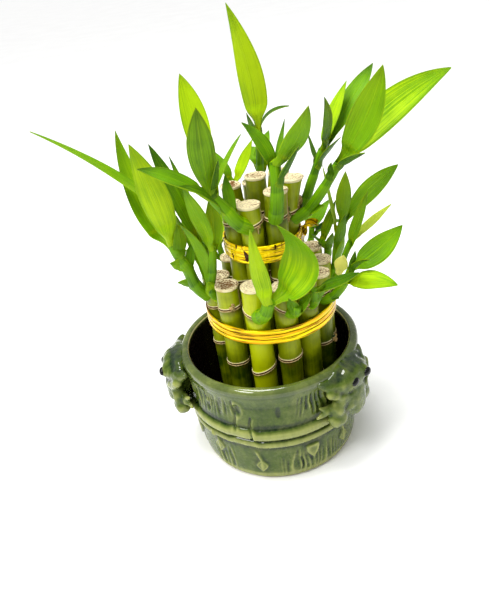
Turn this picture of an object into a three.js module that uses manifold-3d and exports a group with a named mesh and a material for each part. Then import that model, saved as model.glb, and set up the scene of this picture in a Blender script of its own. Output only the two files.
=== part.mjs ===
// Lucky bamboo in a glazed bucket-shaped pot: two tiers of cut canes, held by two foil ties,
// with leafy shoots growing from their rings. Millimetres, +Z up, origin at the middle of the
// pot's flat foot, front towards -Y.
import * as THREE from 'three';
import { mergeVertices } from 'three/addons/utils/BufferGeometryUtils.js';
import Module from 'manifold-3d';

const wasm = await Module();
wasm.setup();

// ---- driving dimensions -------------------------------------------------------------------
const RIM_RADIUS = 50;            // outside of the rolled rim
const POT_HEIGHT = 65.6;
const FOOT_RADIUS = 43.6;
const POT_FLOOR = 5.2;            // height of the floor inside
const POT_SIDES = 36;
const HOOP_LOW = 28.4;            // middle heights of the two raised hoops
const HOOP_HIGH = 34.6;

const FROG_ANGLES = [-41, 71, 184];   // degrees round the pot

const CANE_FOOT = POT_FLOOR + 0.3;
const CANE_SIDES = 8;
const RING_SWELL = 0.45;          // how far a node ring stands proud of its cane
const FLARE_START = 129.4;        // above this height the upper canes bend apart,
const FLARE_SPAN = 26;            // each by its `lean` this much higher up
const SEAT_GAP = 0.35;            // clearance between a shoot and the cane that it sits on

const TIE_LOW_Z = 86;
const TIE_LOW_WIDTH = 8.4;
const TIE_LOW_SIDES = 28;
const TIE_TOP_Z = 124.4;
const TIE_TOP_WIDTH = 9.2;
const TIE_TOP_SIDES = 20;
const FOIL = 0.8;                 // thickness of a tie
const TIE_GAP = 0.35;             // between the canes and the flats of a tie's sides
const TWIST_ROUTE = [[24.6, 1.2, 124], [26, 1.5, 127], [27.8, 2, 128.4], [32.4, 2, 128]];
const TWIST_PINCH = 0.9;          // half widths of the twisted end, at its neck and its tip
const TWIST_SPREAD = 5.2;

const LEAF_THICK = 1.2;           // at the midrib; the blade tapers to its two edges
const LEAF_STEPS = 5;             // one fewer on a leaf shorter than LEAF_SHORT
const LEAF_SHORT = 30;
const LEAF_NECK = 0.34;           // width of the blade's root, as a share of its full width
const LEAF_FOLD = 0.16;           // depth of the channel along the midrib, of the half width
const STEM_SIDES = 5;
const STEM_STEPS = 5;
const STEM_HINT = new THREE.Vector3(0.3, 1, 0.1);   // no stem runs along this

// Lower canes, anticlockwise from the left: angle, diameter, height of the cut top, node rings.
const LOW_CANES = [
  { angle: -170, thick: 11.6, top: 107, rings: [69.5, 93] },
  { angle: -139, thick: 11.8, top: 110, rings: [64, 98] },
  { angle: -107, thick: 12.6, top: 112, rings: [63, 98] },
  { angle: -77, thick: 12.0, top: 110, rings: [69, 99] },
  { angle: -52, thick: 11.8, top: 109, rings: [50, 97] },
  { angle: -26, thick: 11.2, top: 107, rings: [66, 96] },
  { angle: -0.5, thick: 11.4, top: 108, rings: [62, 95] },
  { angle: 25.5, thick: 11.8, top: 110, rings: [70, 99] },
  { angle: 52, thick: 12.2, top: 112, rings: [65, 100] },
  { angle: 79, thick: 11.6, top: 108, rings: [61, 96] },
  { angle: 105.5, thick: 12.0, top: 111, rings: [68, 99] },
  { angle: 132, thick: 11.6, top: 106, rings: [63, 95] },
  { angle: 160, thick: 11.8, top: 101, rings: [66, 90] },
];

// Upper canes: a ring of seven round a middle one, whose angle is null.
const TOP_CANES = [
  { angle: -111, thick: 11.2, top: 149, rings: [106, 139.5], lean: 1.6 },
  { angle: -57, thick: 11.4, top: 154, rings: [108, 141], lean: 2.4 },
  { angle: -4, thick: 10.8, top: 155, rings: [104, 138.5], lean: 4.2 },
  { angle: 46, thick: 10.4, top: 154, rings: [109, 142], lean: 4.2 },
  { angle: 96, thick: 10.6, top: 150, rings: [103, 138], lean: 1.6 },
  { angle: 147, thick: 10.2, top: 152, rings: [110, 143], lean: 1.6 },
  { angle: 199, thick: 10.4, top: 147.5, rings: [105, 137], lean: 1.6 },
  { angle: null, thick: 10.4, top: 158, rings: [107, 140] },
];

const TIERS = [                   // middle, and the radius that the outsides of its canes touch
  { name: 'low', middle: new THREE.Vector2(4.2, 1.5), outside: 34, canes: LOW_CANES },
  { name: 'top', middle: new THREE.Vector2(4.2, 0.5), outside: 19, canes: TOP_CANES },
];

// Leafy shoots. `stem` is the route of the middle of the stem, from inside its cane outwards;
// `beside` names a cane that it passes closely.
// A leaf is [place along the stem 0..1, tip x, y, z, width, peak, arch, sweep, roll]: it is
// widest at `peak`, from 0 at its root to 1 at its tip. Arch and sweep are how far the middle of
// the blade bows up and sideways, as shares of its length, and roll turns the blade about its
// own length in degrees.
const SHOOTS = [
  { name: 'left_outer', cane: 'cane_low_01', thick: 7.4,
    stem: [[-28, -5, 98], [-33, -7, 106], [-36, -8, 118], [-39, -9, 126], [-41, -9, 133]],
    leaves: [
      [0.97, -49.5, -14, 185, 14.8, 0.45, 0.02, 0.02, 60],
      [0.9, -60, 16, 184.5, 14, 0.32, -0.07, 0.035, 0],
      [0.5, -43, -13, 124, 8, 0.4, 0.08, 0, 60],
      [0.25, -42, -9, 110.5, 7, 0.4, 0.1, 0, 60],
      [0.45, -32, -1, 128, 6, 0.42, 0, 0, 0],
      [0.7, -36, -12, 143.5, 8.5, 0.42, 0, 0.05, 0],
    ] },
  { name: 'left_inner', cane: 'cane_low_01', beside: ['cane_low_02'], thick: 5.8,
    stem: [[-23, -8, 98], [-25.4, -11.6, 106], [-22.6, -13.1, 118], [-21, -13, 130]],
    leaves: [
      [0.95, -29, -21, 165, 9.5, 0.45, 0.02, 0, 20],
      [0, -26, -17, 113, 8, 0.42, 0, 0, 30],
      [0.3, -33, -23, 147.5, 7, 0.45, 0.1, 0, 10],
      [0.9, -18.5, -12, 155, 9, 0.45, -0.05, 0, 60],
      [0.35, -31, -2, 129, 5, 0.42, 0, 0, 10],
    ] },
  { name: 'left_back', cane: 'cane_low_13', thick: 4.8,
    stem: [[-26, 10, 90], [-29, 7, 100], [-27, 4, 114], [-26, 3, 126]],
    leaves: [
      [0.9, -94, -3, 194, 9, 0.4, 0.06, 0, -10],
      [0.85, -45.5, 15, 176, 11, 0.5, 0.04, 0.03, -10],
      [0.95, -37.4, 20, 167.5, 6, 0.45, 0.04, 0, 20],
      [0.5, -38, 24, 131, 8, 0.42, 0.1, 0, 0],
    ] },
  { name: 'upper_left', cane: 'cane_top_01', thick: 8.4,
    stem: [[-2, -15, 138], [-7, -19, 143], [-12, -20, 151], [-17, -20, 158]],
    leaves: [
      [1, -46.5, -24, 176.5, 9, 0.5, 0.06, 0, -30],
      [1, -23, -2, 209, 12, 0.6, 0, -0.03, -20],
      [1, -16.6, -30, 200, 12.5, 0.53, 0, -0.02, 10],
      [0.97, -11, -27, 177, 5, 0.45, 0, 0, 10],
      [0.97, 0, -12, 182, 5, 0.45, 0.05, 0, 0],
      [0.6, -29, -32, 169, 6, 0.45, 0.1, 0, -40],
      [0.45, -10, -5, 162, 6.5, 0.45, 0, 0, 20],
    ] },
  { name: 'crown', cane: 'cane_top_05', thick: 5.6,
    stem: [[3, 17, 137], [6, 21, 144], [8, 22, 158], [9, 21, 174]],
    leaves: [
      [1, 1, 10, 233, 13, 0.36, 0.03, 0.035, 20],
      [0.93, 25, 18, 184, 5, 0.45, 0.22, 0, 10],
      [0.85, 4, 16, 184, 4.5, 0.42, 0, 0, 0],
      [0.6, 5, 37, 161, 9, 0.42, 0.12, 0, 0],
      [0.45, 15, 38, 168, 9, 0.42, 0.14, 0, 0],
    ] },
  { name: 'upper_front', cane: 'cane_top_02', thick: 8,
    stem: [[11, -14, 140], [12, -18, 147], [13, -20, 158], [13, -19, 170]],
    leaves: [
      [0.97, 29, -28, 194, 10, 0.5, -0.08, 0, -50],
      [0.9, 20, -12, 186, 5, 0.42, 0, 0, -20],
      [0.7, 24, -27, 178, 5, 0.42, 0, 0, -20],
      [0.85, 1, -12, 187, 7, 0.45, 0.12, 0, -30],
    ] },
  { name: 'upper_right', cane: 'cane_top_03', thick: 5.8,
    stem: [[20, 1, 138], [27, 2, 141], [31, 3, 149], [35, 4, 158], [38, 5, 165]],
    leaves: [
      [0.97, 39, -4, 191, 7, 0.42, 0, 0.08, 30],
      [0.75, 32, 10, 172, 4.5, 0.42, 0, 0, 30],
      [0.9, 53, 17, 192, 10, 0.5, 0.04, 0, -10],
      [0.95, 67, 23, 197, 11, 0.55, 0.02, 0, 20],
      [0.7, 46, -1, 171, 6, 0.42, 0.05, 0, -20],
    ] },
  { name: 'far_right', cane: 'cane_top_03', thick: 6.4,
    stem: [[20, -4, 134], [27, -5, 138], [34, -7, 147], [40, -8, 156], [43, -8, 161]],
    leaves: [
      [0.97, 63, -14, 203, 14.8, 0.5, -0.05, 0, 70],
      [0.93, 103, 18, 191, 16, 0.45, 0.075, 0, 50],
      [0.9, 54, -16, 167, 5.5, 0.42, 0.05, 0, -40],
      [0.7, 39, -14, 164, 4, 0.42, 0, 0, -50],
      [0.25, 35, -10, 142, 5, 0.42, 0, 0, 30],
    ] },
  { name: 'right_top', cane: 'cane_low_08', thick: 5.2,
    stem: [[34, 12, 98], [38, 13, 103], [38, 13, 108], [34.5, 13, 112]],
    leaves: [
      [0.95, 44, 13, 134, 5.5, 0.42, 0, 0, 50],
      [0.8, 30, 11, 118, 4, 0.42, 0, 0, -20],
      [0.6, 41, 9, 118, 5, 0.42, 0, 0, -20],
    ] },
  { name: 'right_upright', cane: 'cane_low_07', thick: 5.2,
    stem: [[36, -1, 94], [40, 1, 102], [42, 3, 114], [45.5, 5, 126]],
    leaves: [
      [1, 48, 2, 153, 8, 0.45, 0, 0, -40],
      [0.95, 77, 15, 148, 10.4, 0.55, 0.05, 0, 40],
      [0.6, 46, -3, 133, 6, 0.42, 0, 0, -30],
      [0.85, 51, 9, 131, 4.5, 0.42, 0, 0, 0],
      [0.4, 45, -4, 121, 5, 0.42, 0, 0, -10],
      [0.8, 38, 10, 155.5, 5, 0.42, 0, 0, 20],
    ] },
  { name: 'right_slim', cane: 'cane_low_06', thick: 4.4,
    stem: [[32, -11, 95], [38, -11, 101], [43, -10, 112], [47, -9, 121]],
    leaves: [
      [0.8, 55, -15, 148, 8, 0.45, 0, 0, 50],
      [1, 69, -3, 135, 5.5, 0.45, 0.01, 0, 10],
      [0.45, 42, -17, 117.5, 7, 0.5, 0, 0, -40],
    ] },
  { name: 'right_low', cane: 'cane_low_06', thick: 5.6,
    stem: [[30, -15, 92], [36, -18, 96], [42, -19, 104], [45, -19, 111]],
    leaves: [
      [1, 71, -16, 129, 13, 0.45, -0.05, 0, 40],
      [0.92, 46, -26, 124, 5, 0.42, 0, 0, 20],
      [0.88, 52, -31, 121, 4, 0.42, 0.1, 0, -30],
      [0.7, 64, -34, 107, 12, 0.45, 0.06, 0, 20],
      [0.25, 38, -21, 96, 4, 0.42, 0, 0, 10],
    ] },
  { name: 'front_right', cane: 'cane_low_05', thick: 5.6,
    stem: [[23, -24, 96], [25, -28, 100], [25, -30, 108]],
    leaves: [
      [1, 46, -35, 117, 7, 0.45, 0, 0, 20],
      [0.6, 30, -32, 112, 5, 0.42, 0, 0, -50],
    ] },
  { name: 'front_bud', cane: 'cane_low_04', thick: 6.4,
    stem: [[12, -30, 97], [15, -35, 100], [16, -36, 104]],
    leaves: [
      [0.5, 12, -38, 110, 6, 0.42, 0, 0, 30],
      [0.6, 23, -38, 111, 6, 0.42, 0, 0, 40],
    ] },
  { name: 'front', cane: 'cane_low_03', thick: 8.8,
    stem: [[-3, -30, 97], [0, -35, 101], [3, -37, 109]],
    leaves: [
      [0.9, -1.6, -38, 147.5, 10, 0.33, -0.02, 0, 40],
      [0.95, 10.3, -35, 146.5, 20.4, 0.42, -0.34, 0, 40],
    ] },
  { name: 'upper_back_left', cane: 'cane_top_06', thick: 4.4,
    stem: [[-9, 10, 142], [-10, 14, 146], [-6, 16, 151]],
    leaves: [
      [0.95, 5.3, 22, 169, 7, 0.42, 0, 0, 20],
      [0.9, -20, 26, 168, 7, 0.42, 0.1, 0, 0],
    ] },
  { name: 'back_right', cane: 'cane_low_09', thick: 4.8,
    stem: [[26, 25, 99], [31, 30, 104], [33, 33, 112]],
    leaves: [
      [0.95, 45, 40, 124, 9, 0.42, 0.06, 0, 0],
      [0.9, 37, 56, 119, 10, 0.42, 0.14, 0, 0],
      [0.7, 51, 34, 113, 8, 0.42, 0.14, 0, 0],
    ] },
  { name: 'back', cane: 'cane_low_10', thick: 5,
    stem: [[12, 32, 95], [13, 37, 101], [13, 40, 110]],
    leaves: [
      [0.95, 16, 64, 126, 11, 0.42, 0.1, 0, 0],
      [0.9, 25, 56, 117, 9, 0.42, 0.12, 0, 0],
      [0.6, 5, 58, 106, 10, 0.42, 0.18, 0, 0],
      [0.95, 10, 40, 136, 8, 0.42, 0, 0, 0],
    ] },
  { name: 'back_left', cane: 'cane_low_12', thick: 5,
    stem: [[-15, 26, 94], [-19, 31, 100], [-21, 33, 110]],
    leaves: [
      [0.95, -33, 45, 124, 10, 0.42, 0.1, 0, 0],
      [0.85, -25, 56, 112, 10, 0.42, 0.14, 0, 0],
      [0.95, -13, 42, 132, 9, 0.42, 0.06, 0, 0],
      [0.5, -42, 36, 106, 8, 0.42, 0.16, 0, 0],
    ] },
];

// ---- helpers ------------------------------------------------------------------------------
const rad = THREE.MathUtils.degToRad;
const UP = new THREE.Vector3(0, 0, 1);

function closed(geometry) {
  // Merges a geometry's shared points, drops empty triangles and turns it into a solid.
  geometry.deleteAttribute('normal');
  geometry.deleteAttribute('uv');
  const merged = mergeVertices(geometry, 1e-4);
  const index = merged.index.array;
  const kept = [];
  for (let i = 0; i < index.length; i += 3) {
    const [a, b, c] = [index[i], index[i + 1], index[i + 2]];
    if (a !== b && b !== c && c !== a) kept.push(a, b, c);
  }
  return new wasm.Manifold(new wasm.Mesh({
    numProp: 3,
    vertProperties: new Float32Array(merged.attributes.position.array),
    triVerts: new Uint32Array(kept),
  }));
}

function fuse(solids) {
  return solids.reduce((sum, solid) => sum.add(solid));
}

function loft(rings, alike = false) {
  // Skins a row of equal rings; the first and last rings are single points. With `alike` the
  // second half of each ring is split the same way as the first, so a thin blade stays clean.
  const sides = rings[1].length;
  const points = [];
  const faces = [];
  const first = rings[0];
  const last = rings[rings.length - 1];
  for (let i = 1; i < rings.length - 1; i++) {
    for (let k = 0; k < sides; k++) {
      const a = rings[i][k];
      const b = rings[i][(k + 1) % sides];
      if (i === 1) faces.push(first, b, a);
      if (i === rings.length - 2) {
        faces.push(last, a, b);
        continue;
      }
      const c = rings[i + 1][(k + 1) % sides];
      const d = rings[i + 1][k];
      if (alike && k >= sides / 2) faces.push(a, b, c, a, c, d);
      else faces.push(a, b, d, b, c, d);
    }
  }
  for (const p of faces) points.push(p.x, p.y, p.z);
  const geometry = new THREE.BufferGeometry();
  geometry.setAttribute('position', new THREE.Float32BufferAttribute(points, 3));
  return closed(geometry);
}

function latheGeometry(profile, sides) {
  const geometry = new THREE.LatheGeometry(profile.map(([r, z]) => new THREE.Vector2(r, z)), sides);
  return geometry.rotateX(Math.PI / 2);
}

const lathe = (profile, sides) => closed(latheGeometry(profile, sides));

function ellipsoid(centre, radii, turn, sides) {
  const geometry = new THREE.SphereGeometry(1, sides, Math.max(5, sides - 2));
  geometry.rotateX(Math.PI / 2);
  geometry.scale(...radii);
  geometry.rotateZ(turn);
  geometry.translate(...centre);
  return closed(geometry);
}

const group = new THREE.Group();

function addPart(name, solid, look) {
  const mesh = solid.getMesh();
  const geometry = new THREE.BufferGeometry();
  geometry.setAttribute('position', new THREE.BufferAttribute(mesh.vertProperties, 3));
  geometry.setIndex(new THREE.BufferAttribute(mesh.triVerts, 1));
  geometry.computeVertexNormals();
  const part = new THREE.Mesh(geometry, look);
  part.name = name;
  group.add(part);
}

const material = (colour, roughness, metalness = 0) =>
  new THREE.MeshStandardMaterial({ color: colour, roughness, metalness });
const LOOKS = {
  glaze: material(0x54714b, 0.15),
  cane: material(0x8fa31c, 0.45),
  leaf: material(0x62a80e, 0.4),
  foil: material(0xf2cf1a, 0.25, 0.9),
};

// ---- pot ----------------------------------------------------------------------------------
function potBody() {
  const wall = [
    [0, 0], [FOOT_RADIUS, 0], [FOOT_RADIUS + 1.4, 1.5], [45.5, 6], [46.6, 20],
    [47, HOOP_LOW - 2.6], [48.7, HOOP_LOW - 1.4], [48.7, HOOP_LOW + 0.9], [47.4, HOOP_LOW + 2],
    [49.2, HOOP_HIGH - 3], [49.9, HOOP_HIGH], [49.2, HOOP_HIGH + 2.8], [47.6, HOOP_HIGH + 4.2],
    [47.9, 57], [49.3, 59], [RIM_RADIUS, 61.6], [49.6, 64], [48.2, 65.3],
    [46.4, POT_HEIGHT], [44.8, 64.6], [44.3, 62.2], [43.6, 36], [42.6, 12], [41.6, 7],
    [40, POT_FLOOR], [0, POT_FLOOR],
  ];
  return lathe(wall, POT_SIDES);
}

function frog(angle) {
  // A frog clinging to the outside with its chin on the rim: out is away from the pot's axis,
  // side is along the rim.
  const turn = rad(angle);
  const at = (out, side, z) => [
    out * Math.cos(turn) - side * Math.sin(turn), out * Math.sin(turn) + side * Math.cos(turn), z];
  const blob = (place, radii, sides) => ellipsoid(at(...place), radii, turn, sides);
  const back = blob([52.2, 0, 47.5], [7.6, 9, 14], 9);
  const head = blob([51.4, 0, 60.2], [7.4, 9, 6.6], 9);
  const snout = blob([49.2, 0, 63.4], [5.6, 6.4, 3.4], 7);
  const limbs = [-1, 1].flatMap((hand) => [
    blob([55.6, 7.2 * hand, 60.2], [3.6, 3.6, 3.6], 6),
    blob([50.6, 9.4 * hand, 43], [5.8, 5.6, 8.4], 7),
    blob([50.2, 10.8 * hand, 54.6], [4.4, 7.2, 4.6], 6),
  ]);
  return fuse([back, head, snout, ...limbs]);
}

function buildPot() {
  addPart('pot', fuse([potBody(), ...FROG_ANGLES.map(frog)]), LOOKS.glaze);
}

// ---- canes --------------------------------------------------------------------------------
function caneSolid(cane, tier, grow = 0) {
  // A cut cane with its node rings; `grow` fattens it, to cut a seat that clears it.
  const r = cane.thick / 2 + grow;
  const profile = [[0, CANE_FOOT - grow], [r - 0.2, CANE_FOOT - grow]];
  for (const z of cane.rings) {
    if (cane.lean && z > FLARE_START) profile.push([r - 0.1, FLARE_START]);
    profile.push([r - 0.15, z - 1.3 - grow], [r + RING_SWELL, z], [r - 0.15, z + 1.4 + grow]);
  }
  profile.push([r, cane.top + grow], [0, cane.top + grow]);
  const geometry = latheGeometry(profile, CANE_SIDES);
  const heading = new THREE.Vector2(1, 0).rotateAround(new THREE.Vector2(), rad(cane.angle ?? 0));
  const reach = cane.angle === null ? 0 : tier.outside - cane.thick / 2;
  const position = geometry.attributes.position;
  for (let i = 0; i < position.count; i++) {
    const rise = Math.max(0, position.getZ(i) - FLARE_START) / FLARE_SPAN;
    const shift = reach + (cane.lean ?? 0) * rise * rise;
    const spot = tier.middle.clone().addScaledVector(heading, shift);
    position.setXY(i, position.getX(i) + spot.x, position.getY(i) + spot.y);
  }
  return closed(geometry);
}

function buildCanes() {
  // Returns each cane fattened by the seat gap, by its node's name.
  const seats = {};
  for (const tier of TIERS) {
    tier.canes.forEach((cane, i) => {
      const name = `cane_${tier.name}_${String(i + 1).padStart(2, '0')}`;
      addPart(name, caneSolid(cane, tier), LOOKS.cane);
      seats[name] = caneSolid(cane, tier, SEAT_GAP);
    });
  }
  return seats;
}

// ---- ties ---------------------------------------------------------------------------------
function band(tier, z, width, sides) {
  // A flat foil band with three strands side by side, seen as three low swells outside.
  const inside = (tier.outside + TIE_GAP) / Math.cos(Math.PI / sides);
  const half = width / 2;
  const profile = [[inside, z - half], [inside + FOIL, z - half]];
  const lip = width / 12;
  for (const groove of [-1, 1]) {
    const mid = z + groove * width / 6;
    profile.push([inside + FOIL, mid - lip], [inside + FOIL / 2, mid], [inside + FOIL, mid + lip]);
  }
  profile.push([inside + FOIL, z + half], [inside, z + half], [inside, z - half]);
  return closed(latheGeometry(profile, sides).translate(tier.middle.x, tier.middle.y, 0));
}

function twistedEnd() {
  // The foil's two ends twisted together, pinched in the middle and spread at the tip.
  const route = new THREE.CatmullRomCurve3(TWIST_ROUTE.map((p) => new THREE.Vector3(...p)));
  const rings = [route.getPoint(0)];
  const steps = 9;
  for (let i = 0; i <= steps; i++) {
    const t = i / steps;
    const along = route.getTangent(t);
    const turn = Math.PI * 0.9 * t;
    const level = new THREE.Vector3().crossVectors(UP, along).normalize().applyAxisAngle(along, turn);
    const flat = along.clone().cross(level);
    const half = TWIST_PINCH + (TWIST_SPREAD - TWIST_PINCH) * Math.pow(Math.abs(t - 0.45) / 0.55, 1.3);
    const centre = route.getPoint(t);
    rings.push([[1, 1], [-1, 1], [-1, -1], [1, -1]].map(([u, v]) =>
      centre.clone().addScaledVector(level, u * half).addScaledVector(flat, v * FOIL * 0.75)));
  }
  rings.push(route.getPoint(1));
  return loft(rings);
}

function buildTies() {
  const [low, top] = TIERS;
  addPart('tie_lower', band(low, TIE_LOW_Z, TIE_LOW_WIDTH, TIE_LOW_SIDES), LOOKS.foil);
  const upper = band(top, TIE_TOP_Z, TIE_TOP_WIDTH, TIE_TOP_SIDES);
  addPart('tie_upper', upper.add(twistedEnd()), LOOKS.foil);
}

// ---- shoots -------------------------------------------------------------------------------
function stemSolid(shoot) {
  // A tapering stem that steps in and out where one sheath ends and the next begins.
  const route = new THREE.CatmullRomCurve3(shoot.stem.map((p) => new THREE.Vector3(...p)));
  const rings = [route.getPoint(0)];
  for (let i = 0; i <= STEM_STEPS; i++) {
    const t = i / STEM_STEPS;
    const centre = route.getPoint(t);
    const along = route.getTangent(t);
    const side = new THREE.Vector3().crossVectors(STEM_HINT, along).normalize();
    const other = along.clone().cross(side);
    const r = shoot.thick / 2 * (i % 2 ? 1 : 0.86) * (1 - 0.35 * t);
    rings.push(Array.from({ length: STEM_SIDES }, (_, k) => {
      const a = 2 * Math.PI * k / STEM_SIDES;
      return centre.clone().addScaledVector(side, r * Math.cos(a)).addScaledVector(other, r * Math.sin(a));
    }));
  }
  rings.push(route.getPoint(1).addScaledVector(route.getTangent(1), shoot.thick / 4));
  return { route, solid: loft(rings) };
}

function leafSolid(base, leaf) {
  // A lance-shaped blade, channelled along its midrib and bowed between its root and its tip.
  const [, x, y, z, width, peak, arch, sweep, roll] = leaf;
  const span = new THREE.Vector3(x, y, z).sub(base);
  const length = span.length();
  const ahead = span.clone().normalize();
  const level = new THREE.Vector3().crossVectors(UP, ahead).normalize();
  const rise = ahead.clone().cross(level);
  const side = level.clone().applyAxisAngle(ahead, rad(roll));
  const at = (t) => {
    const bow = 4 * t * (1 - t) * length;
    return base.clone().addScaledVector(span, t).addScaledVector(rise, arch * bow)
      .addScaledVector(level, sweep * bow);
  };
  const skew = Math.log(0.5) / Math.log(peak);
  const rings = [at(0)];
  const steps = length < LEAF_SHORT ? LEAF_STEPS - 1 : LEAF_STEPS;
  for (let i = 0; i < steps; i++) {
    const t = i / steps;
    const here = at(t);
    const along = at(t + 0.01).sub(at(t - 0.01)).normalize();
    const across = side.clone().addScaledVector(along, -side.dot(along)).normalize();
    const face = along.clone().cross(across);
    const blade = Math.pow(Math.sin(Math.PI * Math.pow(t, skew)), 0.85);
    const half = width / 2 * Math.max(blade, LEAF_NECK * (1 - t));
    const thick = LEAF_THICK * (1 - 0.45 * t) / 2;
    const mid = here.clone().addScaledVector(face, -LEAF_FOLD * half);
    rings.push([
      here.clone().addScaledVector(across, half),
      mid.clone().addScaledVector(face, thick),
      here.clone().addScaledVector(across, -half),
      mid.clone().addScaledVector(face, -thick),
    ]);
  }
  rings.push(at(1));
  return loft(rings, true);
}

function buildShoot(shoot, seats) {
  const { route, solid } = stemSolid(shoot);
  const leaves = shoot.leaves.map((leaf) => leafSolid(route.getPoint(leaf[0]), leaf));
  let whole = fuse([solid, ...leaves]);
  for (const cane of [shoot.cane, ...(shoot.beside ?? [])]) whole = whole.subtract(seats[cane]);
  const largest = whole.decompose().sort((a, b) => b.volume() - a.volume())[0];
  addPart(`shoot_${shoot.name}`, largest, LOOKS.leaf);
}

// ---- the whole plant ----------------------------------------------------------------------
buildPot();
const seats = buildCanes();
buildTies();
for (const shoot of SHOOTS) buildShoot(shoot, seats);

export default group;
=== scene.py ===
import math
import random

import bmesh
import bpy
from mathutils import Matrix, Vector, noise


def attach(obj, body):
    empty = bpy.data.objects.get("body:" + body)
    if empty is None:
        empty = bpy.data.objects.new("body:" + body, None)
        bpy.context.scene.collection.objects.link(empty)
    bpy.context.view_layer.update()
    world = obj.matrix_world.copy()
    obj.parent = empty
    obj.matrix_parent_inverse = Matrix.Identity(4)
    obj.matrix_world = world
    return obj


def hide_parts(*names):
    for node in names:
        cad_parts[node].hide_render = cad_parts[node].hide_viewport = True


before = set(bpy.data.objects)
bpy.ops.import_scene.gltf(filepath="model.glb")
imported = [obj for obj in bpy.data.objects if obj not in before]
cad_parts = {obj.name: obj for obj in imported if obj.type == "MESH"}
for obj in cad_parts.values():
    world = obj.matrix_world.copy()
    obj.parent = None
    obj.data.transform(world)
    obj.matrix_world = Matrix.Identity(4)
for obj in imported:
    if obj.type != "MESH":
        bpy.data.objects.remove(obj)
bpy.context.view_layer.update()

bl_info = {
    "name": "Lucky Bamboo in a Glazed Pot",
    "version": (1, 0, 0),
    "blender": (4, 5, 0),
    "location": "View3D > Sidebar > Lucky Bamboo",
    "description": "Builds the skins of a tied lucky bamboo, its ribbons and its glazed pot",
    "category": "Object",
}

MM = 0.001
TAU = math.tau
UP = Vector((0, 0, 1))

# ---- sizes that the frame also has, in millimetres ------------------------------------------
POT_HEIGHT = 65.6
POT_FLOOR = 5.2
HOOP_LOW = 28.4
HOOP_HIGH = 34.6
FROG_ANGLES = (-41, 71, 184)
FLARE_SPAN = 26
RING_SWELL = 0.45
TIE_GAP = 0.35
TIE_LOW_Z, TIE_LOW_WIDTH = 86, 8.4
TIE_TOP_Z, TIE_TOP_WIDTH = 124.4, 9.2
FOIL = 0.8
TWIST_ROUTE = ((24.6, 1.2, 124), (26, 1.5, 127), (27.8, 2, 128.4), (32.4, 2, 128))
LEAF_NECK = 0.34

# Each tier: middle, radius that its canes' outsides touch, height above which they lean.
TIERS = {
    "low": {"middle": (4.2, 1.5), "outside": 34, "flare": 90},
    "top": {"middle": (4.2, 0.5), "outside": 19, "flare": 129.4},
}

# A cane: angle, diameter, cut top, rings as (height, slant in mm, direction of the slant in
# degrees), lean, tone of its skin (0 deep green, 1 yellow green) and how brown its cut is.
CANES = {
    "low": (
        (-170, 11.6, 107, ((69.5, 0.8, -60), (93, 0.8, 20)), 0, 0.45, 0.5),
        (-139, 11.8, 110, ((64, 0.5, -80), (98, 0.6, -40)), 0, 0.5, 0.85),
        (-107, 12.6, 112, ((63, 2.3, -10), (98, -2.0, -50)), 0, 1.0, 0.15),
        (-77, 12.0, 110, ((69, 0.9, 0), (99, -2.6, -20)), 0, 0.55, 0.3),
        (-52, 11.8, 109, ((50, 0.6, 30), (97, -1.5, -30)), 0, 0.5, 0.4),
        (-26, 11.2, 107, ((66, 0.9, 10), (96, 0.8, -10)), 0, 0.4, 0.5),
        (-0.5, 11.4, 108, ((62, 0.6, 80), (95, 0.8, 20)), 0, 0.5, 0.4),
        (25.5, 11.8, 110, ((70, 0.8, 40), (99, 0.8, 60)), 0, 0.5, 0.55),
        (52, 12.2, 112, ((65, 0.8, 140), (100, 1.2, 90)), 0, 0.65, 0.3),
        (79, 11.6, 108, ((61, 1.0, 60), (96, 0.8, 10)), 0, 0.45, 0.6),
        (105.5, 12.0, 111, ((68, 0.6, 200), (99, 1.6, 120)), 0, 0.7, 0.2),
        (132, 11.6, 106, ((63, 0.9, 90), (95, 0.8, 180)), 0, 0.45, 0.5),
        (160, 11.8, 101, ((66, 0.7, 150), (90, 0.9, 210)), 0, 0.5, 0.75),
    ),
    "top": (
        (-111, 11.2, 149, ((106, 0.8, 0), (139.5, 1.2, 20)), 1.6, 0.5, 0.15),
        (-57, 11.4, 154, ((108, 0.6, 40), (141, 0.5, 30)), 2.4, 0.3, 0.4),
        (-4, 10.8, 155, ((104, 0.8, 0), (138.5, 0.6, 30)), 4.2, 0.55, 0.25),
        (46, 10.4, 154, ((109, 0.8, 90), (142, 0.8, 60)), 4.2, 0.45, 0.3),
        (96, 10.6, 150, ((103, 0.7, 120), (138, 1.0, 90)), 1.6, 0.5, 0.6),
        (147, 10.2, 152, ((110, 0.8, 200), (143, 0.8, 200)), 1.6, 0.3, 0.95),
        (199, 10.4, 147.5, ((105, 0.8, -90), (137, 0.8, -100)), 1.6, 0.5, 0.35),
        (None, 10.4, 158, ((107, 0.6, 0), (140, 0.6, 0)), 0, 0.4, 0.6),
    ),
}

# Root buds and dried scars on the canes: tier, number, angle round the cane, height, size.
CANE_BUDS = (
    ("low", 6, -20, 66.6, (1.5, 2.1, 1.8)),
    ("low", 1, -70, 67.5, (1.0, 1.7, 1.3)),
    ("low", 5, -95, 99.5, (1.1, 2.2, 2.6)),
    ("low", 2, -75, 99.8, (1.0, 1.9, 2.4)),
    ("low", 9, 60, 66.5, (1.3, 1.9, 1.7)),
    ("low", 12, 130, 64.5, (1.2, 1.8, 1.6)),
    ("top", 3, -10, 141.2, (1.5, 2.6, 3.4)),
    ("top", 1, -60, 137.6, (1.2, 2.2, 2.0)),
    ("top", 2, -10, 140.2, (1.3, 2.3, 3.2)),
    ("top", 0, -150, 139.3, (1.1, 2.2, 2.4)),
    ("low", 1, -85, 99.6, (1.0, 2.0, 2.2)),
    ("low", 0, -55, 93.4, (1.0, 2.0, 2.0)),
    ("low", 12, -170, 92.4, (1.3, 2.3, 3.0)),
)

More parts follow.
